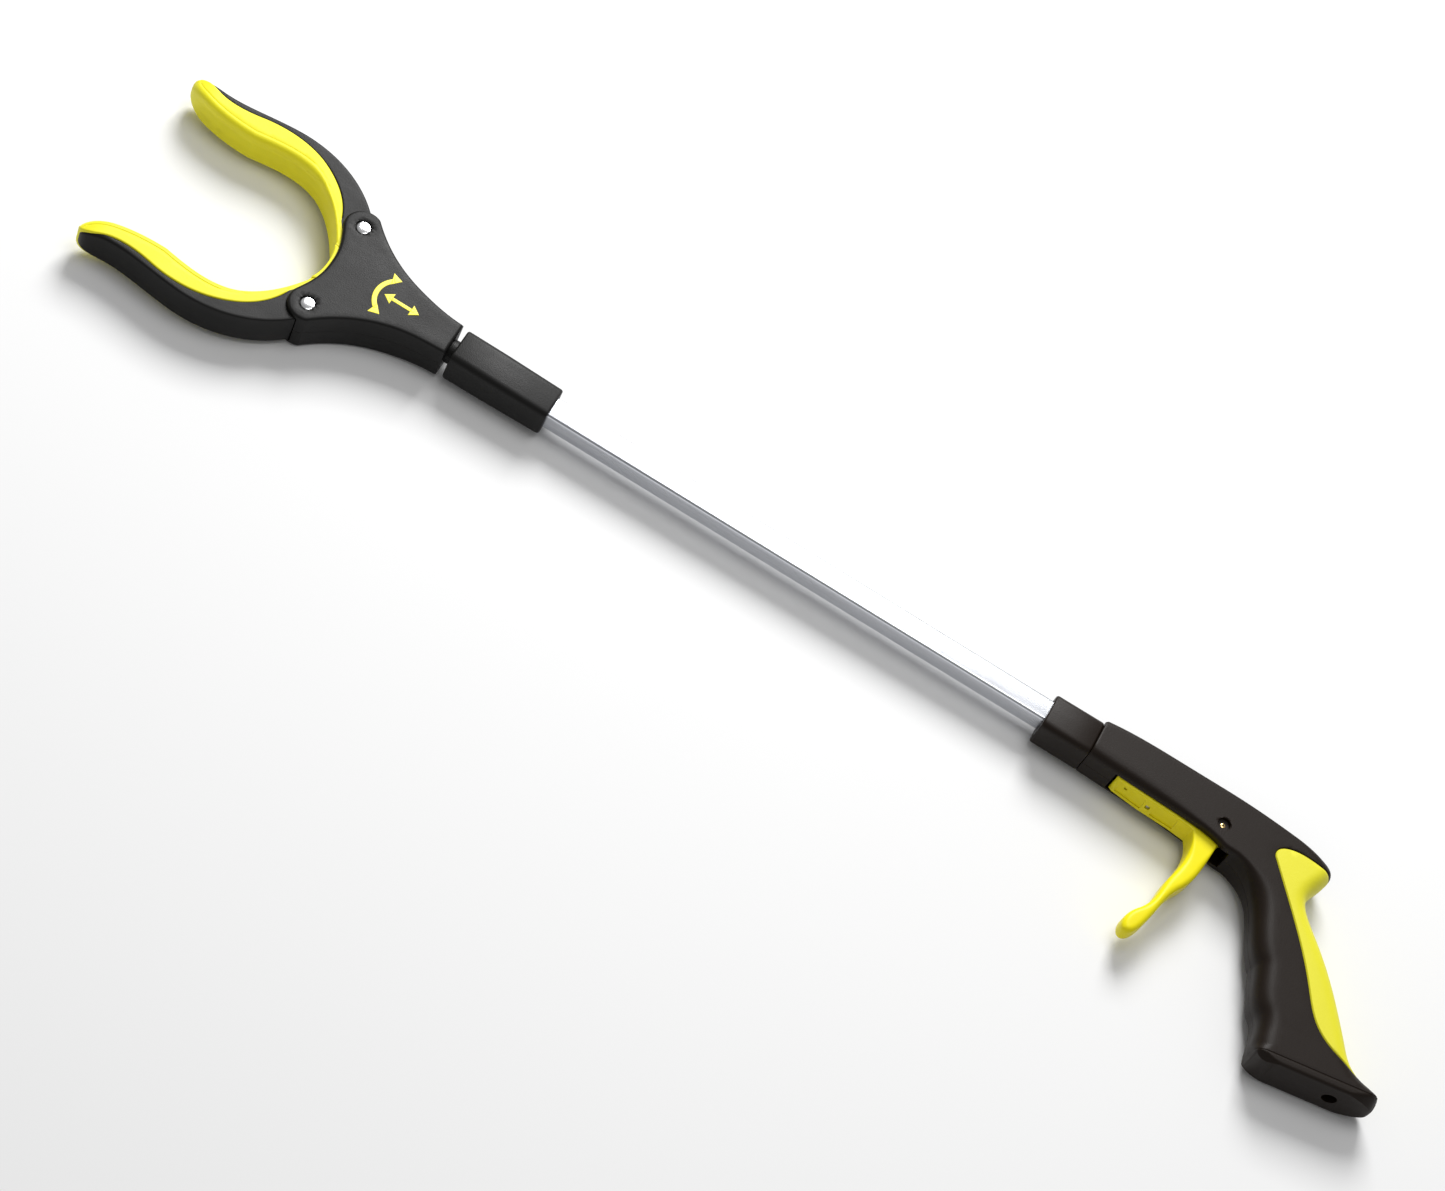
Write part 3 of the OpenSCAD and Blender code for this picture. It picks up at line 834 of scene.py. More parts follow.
def sleeve(sections: Sequence[Section]) -> Shape:
    """Joins sections in order and back to the first, as a closed sleeve with a bore.

    Args:
        sections: the outside from one end to the other, then the bore back.

    Returns:
        The closed shape.
    """
    rows = [s.points() for s in sections]
    count = len(rows[0])
    faces: Faces = []
    for i in range(len(rows)):
        j = (i + 1) % len(rows)
        for k in range(count):
            n = (k + 1) % count
            faces.append((i * count + k, i * count + n, j * count + n, j * count + k))
    return Shape(np.array([p for row in rows for p in row], float), faces)


def prism(points: Sequence[Point], high: float, low: Optional[float] = None) -> Shape:
    """A straight block over a plan that runs counter-clockwise.

    Args:
        points: the plan's corners.
        high: its top.
        low: its underside, or None for as far below the parting plane.

    Returns:
        The closed shape.
    """
    count = len(points)
    low = -high if low is None else low
    rows = [(x, y, z) for z in (low, high) for x, y in points]
    faces: Faces = [tuple(range(count))[::-1], tuple(range(count, 2 * count))]
    faces += [(k, (k + 1) % count, (k + 1) % count + count, k + count) for k in range(count)]
    return Shape(np.array(rows, float), faces)


class Workbench:
    """Turns shapes into pieces of the scene."""

    def __init__(self, paint: Paintshop) -> None:
        """Keeps the paintshop."""
        self.paint = paint

    def _object(self, name: str, shape: Shape, origin: Vector) -> bpy.types.Object:
        """A mesh object from a shape."""
        mesh = bpy.data.meshes.new(name)
        rows = shape.points * MM + np.array(origin)
        mesh.from_pydata(rows.tolist(), [], shape.faces)
        work = bmesh.new()
        work.from_mesh(mesh)
        bmesh.ops.remove_doubles(work, verts=work.verts, dist=1e-6)
        bmesh.ops.recalc_face_normals(work, faces=work.faces)
        work.to_mesh(mesh)
        work.free()
        piece = bpy.data.objects.new(name, mesh)
        bpy.context.scene.collection.objects.link(piece)
        return piece

    def _carve(self, piece: bpy.types.Object, tools: Sequence[Shape], origin: Vector) -> None:
        """Cuts blocks out of a piece.

        Args:
            piece: what is cut.
            tools: what is taken away.
            origin: where the tools are measured from.
        """
        for i, tool in enumerate(tools):
            cutter = self._object(f"cutter_{i}", tool, origin)
            step = piece.modifiers.new("cut", "BOOLEAN")
            step.operation = "DIFFERENCE"
            step.solver = "EXACT"
            step.object = cutter
            graph = bpy.context.evaluated_depsgraph_get()
            cut = bpy.data.meshes.new_from_object(piece.evaluated_get(graph))
            piece.modifiers.clear()
            old = piece.data
            piece.data = cut
            bpy.data.meshes.remove(old)
            bpy.data.objects.remove(cutter)

    def piece(
        self,
        name: str,
        shape: Shape,
        origin: Vector,
        stock: Stock,
        body: Body,
        stands_for: Sequence[str] = (),
        carve: Sequence[Shape] = (),
    ) -> None:
        """Makes one piece.

        Args:
            name: its name.
            shape: its shape in millimetres.
            origin: where the shape is measured from.
            stock: what it is made of.
            body: the body that it rides on.
            stands_for: the frame's nodes that it replaces.
            carve: blocks to cut away.
        """
        made = self._object(name, shape, origin)
        self._carve(made, carve, origin)
        made.data.materials.clear()
        made.data.materials.append(self.paint.of(stock))
        for face in made.data.polygons:
            face.material_index = 0
        made.data.shade_smooth()
        made.data.set_sharp_from_angle(angle=math.radians(SHARP_ANGLE))
        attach(made, body.value)
        if stands_for:
            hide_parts(*stands_for)
        LOG.info("%s: %d faces on %s", name, len(made.data.polygons), body.value)


def centre_of(node: str) -> Vector:
    """Middle of a node's box."""
    low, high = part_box(node)
    return (low + high) / 2


@dataclass
class Assembly:
    """A sub-assembly, measured in millimetres from its origin.

    Attributes:
        bench: makes the pieces.
        origin: where the sizes are measured from, by default the jaw pins on the tube's axis.
    """

    bench: Workbench
    origin: Vector = field(default_factory=lambda: centre_of("jaw_pins"))

    def add(
        self,
        name: str,
        shape: Shape,
        stock: Stock,
        body: Body,
        stands_for: Sequence[str] = (),
        carve: Sequence[Shape] = (),
    ) -> None:
        """Makes one piece at the origin, as the workbench's piece does."""
        self.bench.piece(name, shape, self.origin, stock, body, stands_for, carve)


# --- Handle ---


@dataclass
class Handle(Assembly):
    """The pistol handle: two shells, thumb rest, foot, rear collar, trigger and their pin.

    Every size is in millimetres from the trigger pin's place on the tube's axis.

    Attributes:
        half: half width of the shells.
        pin: place of the trigger pin.
        heel: back end of the sole.
        toe: front end of the sole.
        foot_high: height of the foot above its sole.
        sole_middle: place of the widest part of the sole, from the heel.
        sole_reach: half length of the boat that the sole follows.
        round_steps: distances from the edge of the rows that carry its rounding.
        edge_steps: distances of the rows beside a groove.
        screws: places of the screw wells.
    """

    origin: Vector = field(default_factory=lambda: centre_of("trigger_pin") + Vector((0, 7.5 * MM, 0)))
    half: float = 12.45
    pin: Point = (0.0, -7.5)
    heel: Point = (124.0, -101.0)
    toe: Point = (69.0, -110.2)
    foot_high: float = 4.5
    sole_middle: float = 31.0
    sole_reach: float = 33.8
    round_steps: tuple[float, ...] = (0.12, 0.4, 0.85, 1.5, 2.4, 3.5, 5.0, 6.8, 8.8)
    edge_steps: tuple[float, ...] = (0.25, 0.6)
    screws: tuple[Point, ...] = ((24, -3), (44, -34), (64, -80))

    def __post_init__(self) -> None:
        """Draws the lines that the handle's mouldings share."""
        self.slope = math.atan2(self.heel[1] - self.toe[1], self.heel[0] - self.toe[0])
        top = curve((-75, 9.5), ((-63, 11.2), (-53, 11.6), (-38, 11.6), 20)) + [(-38, 11.6)]
        top += curve((-3, 11.6), ((19, 11.4), (37, 9.2), (55, 7.2), 20), ((60, 6.5), (62.5, 4), (61, 0), 10))
        back = curve(
            (61, 0),
            ((59.5, -6), (55, -12), (54.8, -18), 14),
            ((55, -23), (62, -29), (69, -36), 16),
            ((83, -50), (92, -64), (99, -74), 24),
            ((105, -83), (107, -88), (117, -90.5), 16),
            ((124, -91.5), (127, -94), (127, -98.5), 12),
        )
        front = [(127, -98.5)] + curve((127, -98.5), ((127, -100.3), (126, -100.7), self.heel, 6))
        front += [self.heel]
        front += curve(
            self.toe,
            ((63.5, -110.5), (60.5, -107), (59.5, -102), 12),
            ((58.5, -97), (58.5, -92), (55.5, -88), 12),
            ((49.5, -83), (48, -72), (45, -64), 16),
            ((37, -55), (36, -44), (31, -35), 18),
            ((27, -28), (21, -20), (11, -18.5), 18),
        )
        bottom = curve((5, -18.5), ((-3, -15), (-13, -14.5), (-28, -14), 12))
        bottom += [(-28, -14), (-63, -13), (-75, -12.5)]
        self.rim = Line(top + back + front + bottom, step=1.6)
        self.around = Line(top + back + front + bottom, closed=False)
        edge = curve(
            (64, 1),
            ((57, 1), (51, 1.5), (44, 1.5), 12),
            ((35, 1.5), (27, -2), (30, -8), 16),
            ((43, -24), (59, -42), (70, -60), 30),
            ((80, -76), (83, -88), (116, -91), 26),
        ) + [(116, -91)]
        self.thumb_edge = Line(edge, closed=False)
        self.thumb_area = Line(edge + [(140, -80), (140, 1)])
        ends = [self._sole(along, self.foot_high) for along in (-90, 12)]
        self.foot_line = Line(ends, closed=False)

    def _sole(self, along: float, up: float) -> Point:
        """A point by its place along the sole from the heel, and above it."""
        c, s = math.cos(self.slope), math.sin(self.slope)
        return (self.heel[0] + along * c - up * s, self.heel[1] + along * s + up * c)

    def _sole_height(self, at: Plan) -> Plan:
        """Height of points above the sole."""
        x, y = at[:, 0] - self.heel[0], at[:, 1] - self.heel[1]
        return -x * math.sin(self.slope) + y * math.cos(self.slope)

    def _sole_width(self, at: Plan) -> Plan:
        """Half width that the boat-shaped sole allows, opening upwards from it."""
        x, y = at[:, 0] - self.heel[0], at[:, 1] - self.heel[1]
        along = x * math.cos(self.slope) + y * math.sin(self.slope)
        share = np.clip(np.abs(along + self.sole_middle) / self.sole_reach, 0, 1)
        boat = self.half * np.sqrt(1 - share**2.2)
        return boat + 0.6 + 1.1 * np.maximum(self._sole_height(at), 0)

    def _in_foot(self, at: Plan) -> Plan:
        """Whether points lie in the foot."""
        return self._sole_height(at) < self.foot_high

    def _skin(self, at: Plan) -> Plan:
        """Height of the handle's outside over points in plan, one surface for shells, thumb rest and foot.

        The rounding of the edge is tight on the body, wide on the grip and the nose, and tight at the foot.
        """
        front, spur_at, spur_size = -75, (61, 4), (9, 7)
        depth = self.around.distance(at)
        grip = eased(at[:, 0] - at[:, 1], 28, 66)
        nose = eased(-at[:, 0], 0, 46) * eased(-at[:, 1], -3, 9)
        foot = eased(-self._sole_height(at), -9, -1)
        away = (at - np.array(spur_at)) / np.array(spur_size)
        spur = np.exp(-(away**2).sum(1))
        radius = (2.4 + 6.2 * grip + 3.4 * nose) * (1 - 0.72 * foot)
        wall = 9.6 - 6.4 * grip - 2.6 * nose
        wall = wall + (10.6 - wall) * foot - 3.0 * spur
        top = self.half - 1.6 * spur
        height = top - (top - wall) * rounded(depth, radius) - 0.5 * rounded(at[:, 0] - front, 0.6)
        height = np.minimum(height, self._sole_width(at))
        height = height - groove(self.thumb_edge.distance(at), 0.8, 0.75)
        return height - groove(self.foot_line.distance(at), 0.45, 0.35)

    def _lines(self, steps: Sequence[float]) -> list[tuple[Line, Sequence[float]]]:
        """Lines that the meshes follow: the rim, the thumb rest's edge and the foot's line."""
        return [(self.rim, steps), (self.thumb_edge, self.edge_steps), (self.foot_line, (0.25, 0.5))]

    def _shell(self, left: bool) -> Shape:
        """One half of the handle, with the recesses of its side.

        Args:
            left: the side with the small pin recess, or the side with the screws.

        Returns:
            The half's shape.
        """
        recesses: list[Recess] = [(self.pin, 3.4, 2.2)]
        if not left:
            recesses += [(spot, 3.0, 4.0) for spot in self.screws]

        def top(at: Plan) -> Plan:
            return sunk(self._skin(at), at, recesses, self.half, 0.4)

        def keep(at: Plan) -> Plan:
            return self.rim.inside(at) & ~self.thumb_area.inside(at) & ~self._in_foot(at)

        lines = self._lines(self.round_steps) + recess_lines(recesses)
        shape = Relief(lines, keep, top, base=0.1).shape()
        return shape if left else shape.flipped()

    def build_shells(self) -> None:
        """The two halves, opened below for the trigger and hollow inside."""
        slot = prism(oblong(-58.5, -40, 9.5, -7.6), 7.6)
        works = prism(oblong(-46, -12.4, 8, 8.4), 9.9)
        bore = prism(oblong(-76, -6.55, -40, 6.55), 6.05)
        for left in (True, False):
            name = "handle_shell_left" if left else "handle_shell_right"
            hollows = (slot, works, bore)
            self.add(name + "_skin", self._shell(left), Stock.HANDLE_PLASTIC, Body.ROOT, (name,), hollows)

    def build_thumb_rest(self) -> None:
        """The soft thumb rest and back strap, flush with the shells behind a groove."""

        def keep(at: Plan) -> Plan:
            return self.rim.inside(at) & self.thumb_area.inside(at) & ~self._in_foot(at)

        shape = Relief(self._lines(self.round_steps), keep, self._skin).shape()
        self.add("thumb_rest_skin", shape, Stock.SOFT_GRIP, Body.ROOT, ("thumb_rest",))

    def build_foot(self) -> None:
        """The foot that closes the grip, with the hanging socket bored square to its sole."""

        def keep(at: Plan) -> Plan:
            return self.rim.inside(at) & self._in_foot(at)

        lines = [(self.rim, (0.12, 0.4, 0.85, 1.5, 2.3, 3.2)), (self.foot_line, (0.25, 0.5))]
        shape = Relief(lines, keep, self._skin, spacing=1.8).shape()
        ahead, radius, deep = 18.0, 4, 7
        bore = lathe([(0, -3), (radius, -3), (radius, deep), (0, deep)], sides=40)
        x, y = self._sole(-ahead / math.cos(self.slope), 0)
        spin = Matrix.Rotation(self.slope, 3, "Z") @ Matrix.Rotation(math.radians(-90), 3, "X")
        bore.points = bore.points @ np.array(spin).T + np.array((x, y, 0))
        self.add("grip_foot_skin", shape, Stock.HANDLE_PLASTIC, Body.ROOT, ("grip_foot",), (bore,))

    def build_collar(self) -> None:
        """The rear collar that clamps the tube, with a chamfered mouth."""
        mouth = (6.55, 6.05)
        middle = -1.9
        rows = [
            Section(-102.5, (mouth[0] + 0.5, mouth[1] + 0.5), 2.1),
            Section(-102.5, (10.1, 10.1), 3.4, middle),
            Section(-102.1, (10.6, 10.6), 3.9, middle),
            Section(-101.4, (10.8, 10.8), 4.1, middle),
            Section(-88.0, (10.8, 10.9), 4.1, middle),
            Section(-76.2, (10.8, 11.0), 4.1, middle),
            Section(-75.5, (10.5, 10.7), 3.9, middle),
            Section(-75.1, (9.9, 10.1), 3.6, middle),
            Section(-75.1, mouth, 1.6),
            Section(-102.0, mouth, 1.6),
        ]
        self.add("rear_collar_skin", sleeve(rows), Stock.HANDLE_PLASTIC, Body.ROOT, ("rear_collar",))

    def build_pin(self) -> None:
        """The trigger pin, turned with domed ends."""
        end = self.half - 2.1
        profile = [
            (0, -end), (1.2, -end + 0.06), (1.75, -end + 0.25), (2, -end + 0.6), (2, end - 0.6),
            (1.75, end - 0.25), (1.2, end - 0.06), (0.5, end - 0.02), (0.4, end - 0.35), (0, end - 0.4),
        ]
        pin = lathe(profile, (*self.pin, 0))
        self.add("trigger_pin_turned", pin, Stock.BRASS, Body.ROOT, ("trigger_pin",))

    def build_trigger(self) -> None:
        """The trigger: a flat arm in the slot and a curved lever with round edges."""
        line = arc(self.pin, 5.5, 130, 20, 20) + [(5.5, self.pin[1] - 2)]
        line += curve(
            (2.5, -16.5),
            ((1.5, -28), (2, -38), (-4, -49), 22),
            ((-8.5, -56), (-9, -62), (-10.8, -70), 18),
            ((-13, -79), (-15, -87), (-20.5, -86), 18),
            ((-24, -84), (-24, -77), (-19, -71), 16),
            ((-11.5, -62), (-14.5, -56), (-11, -44), 20),
            ((-8, -34), (-7.5, -22), (-12, -17), 20),
        )
        line += [(-12, -16.6), (-22, -15.6), (-39, -15.2), (-55, -13.6), (-57, -12.6), (-57, -8.6)]
        line += [(-34, -8.2), (-8, -3.6)]
        rim = Line(line, step=1.4)

        def top(at: Plan) -> Plan:
            lever = eased(-at[:, 1], 18, 34)
            radius = 0.9 + 2.1 * lever
            wall = 6.3 - 2.4 * lever
            thin = 0.9 * eased(-at[:, 1], 66, 86)
            high = 6.95 - thin
            return high - (high - wall + thin) * rounded(rim.distance(at), radius)

        steps = (0.1, 0.3, 0.6, 1.0, 1.6, 2.3, 3.0)
        shape = Relief([(rim, steps)], rim.inside, top, spacing=1.8).shape()
        inner = prism([(-60, -12.2), (-28, -12.2), (-10, -12.8), (-9, 0), (-60, 0)], 4.2)
        entry = prism(oblong(-37.3, -20, -34.7, -12), 1.6)
        pockets = [
            prism([(-54, -20), (-38.8, -20), (-38.8, -14.5), (-54, -13.1)], 4.6),
            prism([(-33.2, -20), (-20, -20), (-20, -15.0), (-33.2, -14.7)], 4.6),
            prism(oblong(-50.8, -20, -49.2, -12), 2.2, 0.6),
        ]
        hollows = (inner, entry, *pockets)
        self.add("trigger_lever", shape, Stock.YELLOW_PLASTIC, Body.TRIGGER, ("trigger",), hollows)

    def build(self) -> None:
        """Builds every piece of the handle."""
        self.build_shells()
        self.build_thumb_rest()
        self.build_foot()
        self.build_collar()
        self.build_pin()
        self.build_trigger()


# --- Tube ---


@dataclass
class Shaft(Assembly):
    """The drawn tube and the front collar.

    Attributes:
        tube_half: half height and half width of the tube.
        wall: thickness of its wall.
        soft: how far its ends are softened.
        spans: how many stretches the tube's length is divided into.
    """

    tube_half: Point = (6.5, 6.0)
    wall: float = 1.2
    soft: float = 0.2
    spans: int = 12

    def _ends(self, node: str) -> Point:
        """Both ends of a node along the axis, in millimetres."""
        return tuple((v.x - self.origin.x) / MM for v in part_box(node))

    def build_tube(self) -> None:
        """The tube, with softened ends."""
        start, end = self._ends("tube")
        high, wide = self.tube_half
        soft, span = self.soft, (end - start - 2 * self.soft) / self.spans
        inner = (high - self.wall, wide - self.wall)
        rows = [
            Section(start, (high - soft, wide - soft), 1.4),
            *[Section(start + soft + span * i, self.tube_half, 1.6) for i in range(self.spans + 1)],
            Section(end, (high - soft, wide - soft), 1.4),
            Section(end, inner, 0.6),
            Section(start, inner, 0.6),
        ]
        self.add("tube_drawn", sleeve(rows), Stock.ALUMINIUM, Body.ROOT, ("tube",))

    def build_front_collar(self) -> None:
        """The front collar, a little thinner towards the tube, with chamfered ends."""
        start, end = self._ends("front_collar")
        rows = [
            Section(start, (6.6, 6.6), 6.5),
            Section(start, (9.9, 9.9), 3.2),
            Section(start + 0.35, (10.4, 10.4), 3.6),
            Section(start + 1.0, (10.65, 10.65), 3.9),
            Section(start + 24, (10.55, 10.55), 3.9),
            Section(end - 1.2, (10.1, 10.1), 3.8),
            Section(end - 0.4, (9.85, 9.85), 3.5),
            Section(end, (9.3, 9.3), 3.0),
            Section(end, (7.1, 6.6), 2.0),
            Section(end - 0.6, (6.55, 6.05), 1.6),
            Section(start + 20, (6.55, 6.05), 1.6),
            Section(start + 20, (8.6, 8.6), 8.5),
            Section(start + 4, (8.6, 8.6), 8.5),
            Section(start + 4, (6.5, 6.5), 6.4),
        ]
        self.add("front_collar_skin", sleeve(rows), Stock.HEAD_PLASTIC, Body.ROOT, ("front_collar",))

    def build(self) -> None:
        """Builds the tube and its collar."""
        self.build_tube()
        self.build_front_collar()


# --- Head ---


@dataclass
class Head(Assembly):
    """The head: two shells over the jaws, the jaw pins, the throat strip and the marks.

    Attributes:
        half: half width of the shells.
        pin_y: distance of the jaw pins from the tube's axis.
        knuckle: radius of the shells round a jaw pin.
        length: length from the jaw pins to the neck.
        cavity: half width of the room between the shells.
        screws: places of the screw wells.
    """

    half: float = 12.5
    pin_y: float = 28.0
    knuckle: float = 10.3
    length: float = 69.0
    cavity: float = 10.1
    screws: tuple[Point, ...] = ((27, 14), (27, -14))

    def __post_init__(self) -> None:
        """Draws the head's outline."""
        upper = curve((-3, 0), ((-3, 9), (-5, 15), (-9.3, 23.5), 16))
        upper += arc((0, self.pin_y), self.knuckle, 205, 63, 30)
        upper += curve((4.7, 37.2), ((21, 20), (41, 11), (self.length, 10.2), 40)) + [(self.length, 10.2)]
        self.rim = Line(upper + below(upper), step=1.5)

    def _skin(self, at: Plan) -> Plan:
        """Height of the head's face, which falls a little towards the neck."""
        depth = self.rim.distance(at)
        face = self.half - 0.12 - 1.3 * eased(at[:, 0], 40, 66)
        return face - 1.5 * rounded(depth, 1.6)

    def _shell(self, left: bool) -> Shape:
        """One half of the head.

        Args:
            left: the side with the marks, or the side with the screws.

        Returns:
            The half's shape.
        """
        recesses: list[Recess] = [((0.0, s * self.pin_y), 4.4, 1.6) for s in (-1, 1)]
        if not left:
            recesses += [(spot, 3.0, 4.0) for spot in self.screws]

        def top(at: Plan) -> Plan:
            return sunk(self._skin(at), at, recesses, self.half, 0.3)

        lines = [(self.rim, (0.08, 0.25, 0.55, 1.0, 1.6))] + recess_lines(recesses)
        shape = Relief(lines, self.rim.inside, top, base=0.1, spacing=2.2).shape()
        return shape if left else shape.flipped()

    def build_shells(self) -> None:
        """The two halves, hollow for the jaws and the slide."""
        room = [(-30, 0), (-30, 60), (0, 60), (0, 35.8), (7, 31.8), (14, 24), (18, 18), (23, 8.7), (52, 8.7)]
        plan = room + [(52, 0)] + below(room)[:-1]
        inner = prism(plan[::-1], self.cavity)
        neck = lathe([(0, 0), (6.5, 0), (6.5, 20), (0, 20)], sides=40)
        neck.points = neck.points[:, [2, 0, 1]] + np.array((51, 0, 0))
        for left in (True, False):
            name = "head_shell_left" if left else "head_shell_right"
            hollows = (inner, neck)
            self.add(name + "_skin", self._shell(left), Stock.HEAD_PLASTIC, Body.HEAD, (name,), hollows)

    def build_pins(self) -> None:
        """Both jaw pins, with domed heads on both sides."""
        neck, top = self.half - 1.6, self.half - 0.5
        upper = [(3.0, neck), (3.7, neck + 0.05), (3.7, top - 0.55)]
        upper += [(3.45, top - 0.25), (2.6, top - 0.06), (0, top)]
        profile = [(r, -z) for r, z in reversed(upper)] + upper
        low, high = (lathe(profile, (0, s * self.pin_y, 0)) for s in (-1, 1))
        self.add("jaw_pins_domed", low.joined(high), Stock.BRIGHT_STEEL, Body.HEAD, ("jaw_pins",))

    def build_liner(self) -> None:
        """The strip along the throat."""
        upper = curve((-4.6, 0), ((-4.6, 5), (-5.4, 9), (-7.3, 12.6), 12))
        upper += arc((0, self.pin_y), 17.0, -113, -101, 6) + [(-3, 6)]
        rim = Line(upper + below(upper), step=1.2)
        face = self.cavity - 0.05

        def top(at: Plan) -> Plan:
            return face - 0.7 * rounded(rim.distance(at), 0.7)

        shape = Relief([(rim, (0.1, 0.3, 0.6))], rim.inside, top, spacing=1.0).shape()
        self.add("throat_liner_strip", shape, Stock.YELLOW_RUBBER, Body.HEAD, ("throat_liner",))

    def _mark(self, name: str, plans: Sequence[Line], node: str) -> None:
        """A printed mark that stands a hair proud of the face.

        Args:
            name: the piece's name.
            plans: its closed lines.
            node: the frame's node.
        """
        high = self.half - 0.01

        def inside(at: Plan) -> Plan:
            return np.any([p.inside(at) for p in plans], axis=0)

        def top(at: Plan) -> Plan:
            edge = np.min([p.distance(at) for p in plans], axis=0)
            return high - 0.08 * rounded(edge, 0.2)

        shape = Relief([(p, (0.08, 0.22)) for p in plans], inside, top, self.half - 0.4, 1.0).shape()
        self.add(name, shape, Stock.MARK_YELLOW, Body.HEAD, (node,))

    def build_marks(self) -> None:
        """The two double arrows: turn, and push."""
        middle, radius, spread = (37.0, 0.0), 13.0, 48.0
        bow = arc(middle, radius + 1.3, 180 - spread, 180 + spread)
        bow += arc(middle, radius - 1.3, 180 + spread, 180 - spread)
        outline = [Line(bow, step=1.0)]
        for side in (-1, 1):
            at = math.radians(180 - side * (spread + 18))
            tip = (middle[0] + radius * math.cos(at), radius * math.sin(at))
            outline.append(self._arrow(tip, at - side * math.radians(98), 5.0, 3.5))
        self._mark("turn_arrows_print", outline, "turn_arrows")
        bar = Line(oblong(31, -1, 45, 1), step=1.0)
        heads = [self._arrow((28, 0), math.pi, 4.6, 3.4), self._arrow((48, 0), 0.0, 4.6, 3.4)]
        self._mark("push_arrows_print", [bar, *heads], "push_arrows")

    def _arrow(self, tip: Point, angle: float, length: float, half: float) -> Line:
        """A flat arrow head.

        Args:
            tip: its point.
            angle: where it points, in radians.
            length: its length.
            half: half its width.

        Returns:
            Its outline.
        """
        c, s = math.cos(angle), math.sin(angle)
        corners = ((0, 0), (-length, half), (-length, -half))
        return Line([(tip[0] + x * c - y * s, tip[1] + x * s + y * c) for x, y in corners], step=0.8)

    def build(self) -> None:
        """Builds every piece of the head."""
        self.build_shells()
        self.build_pins()
        self.build_liner()
        self.build_marks()


# --- Jaws ---


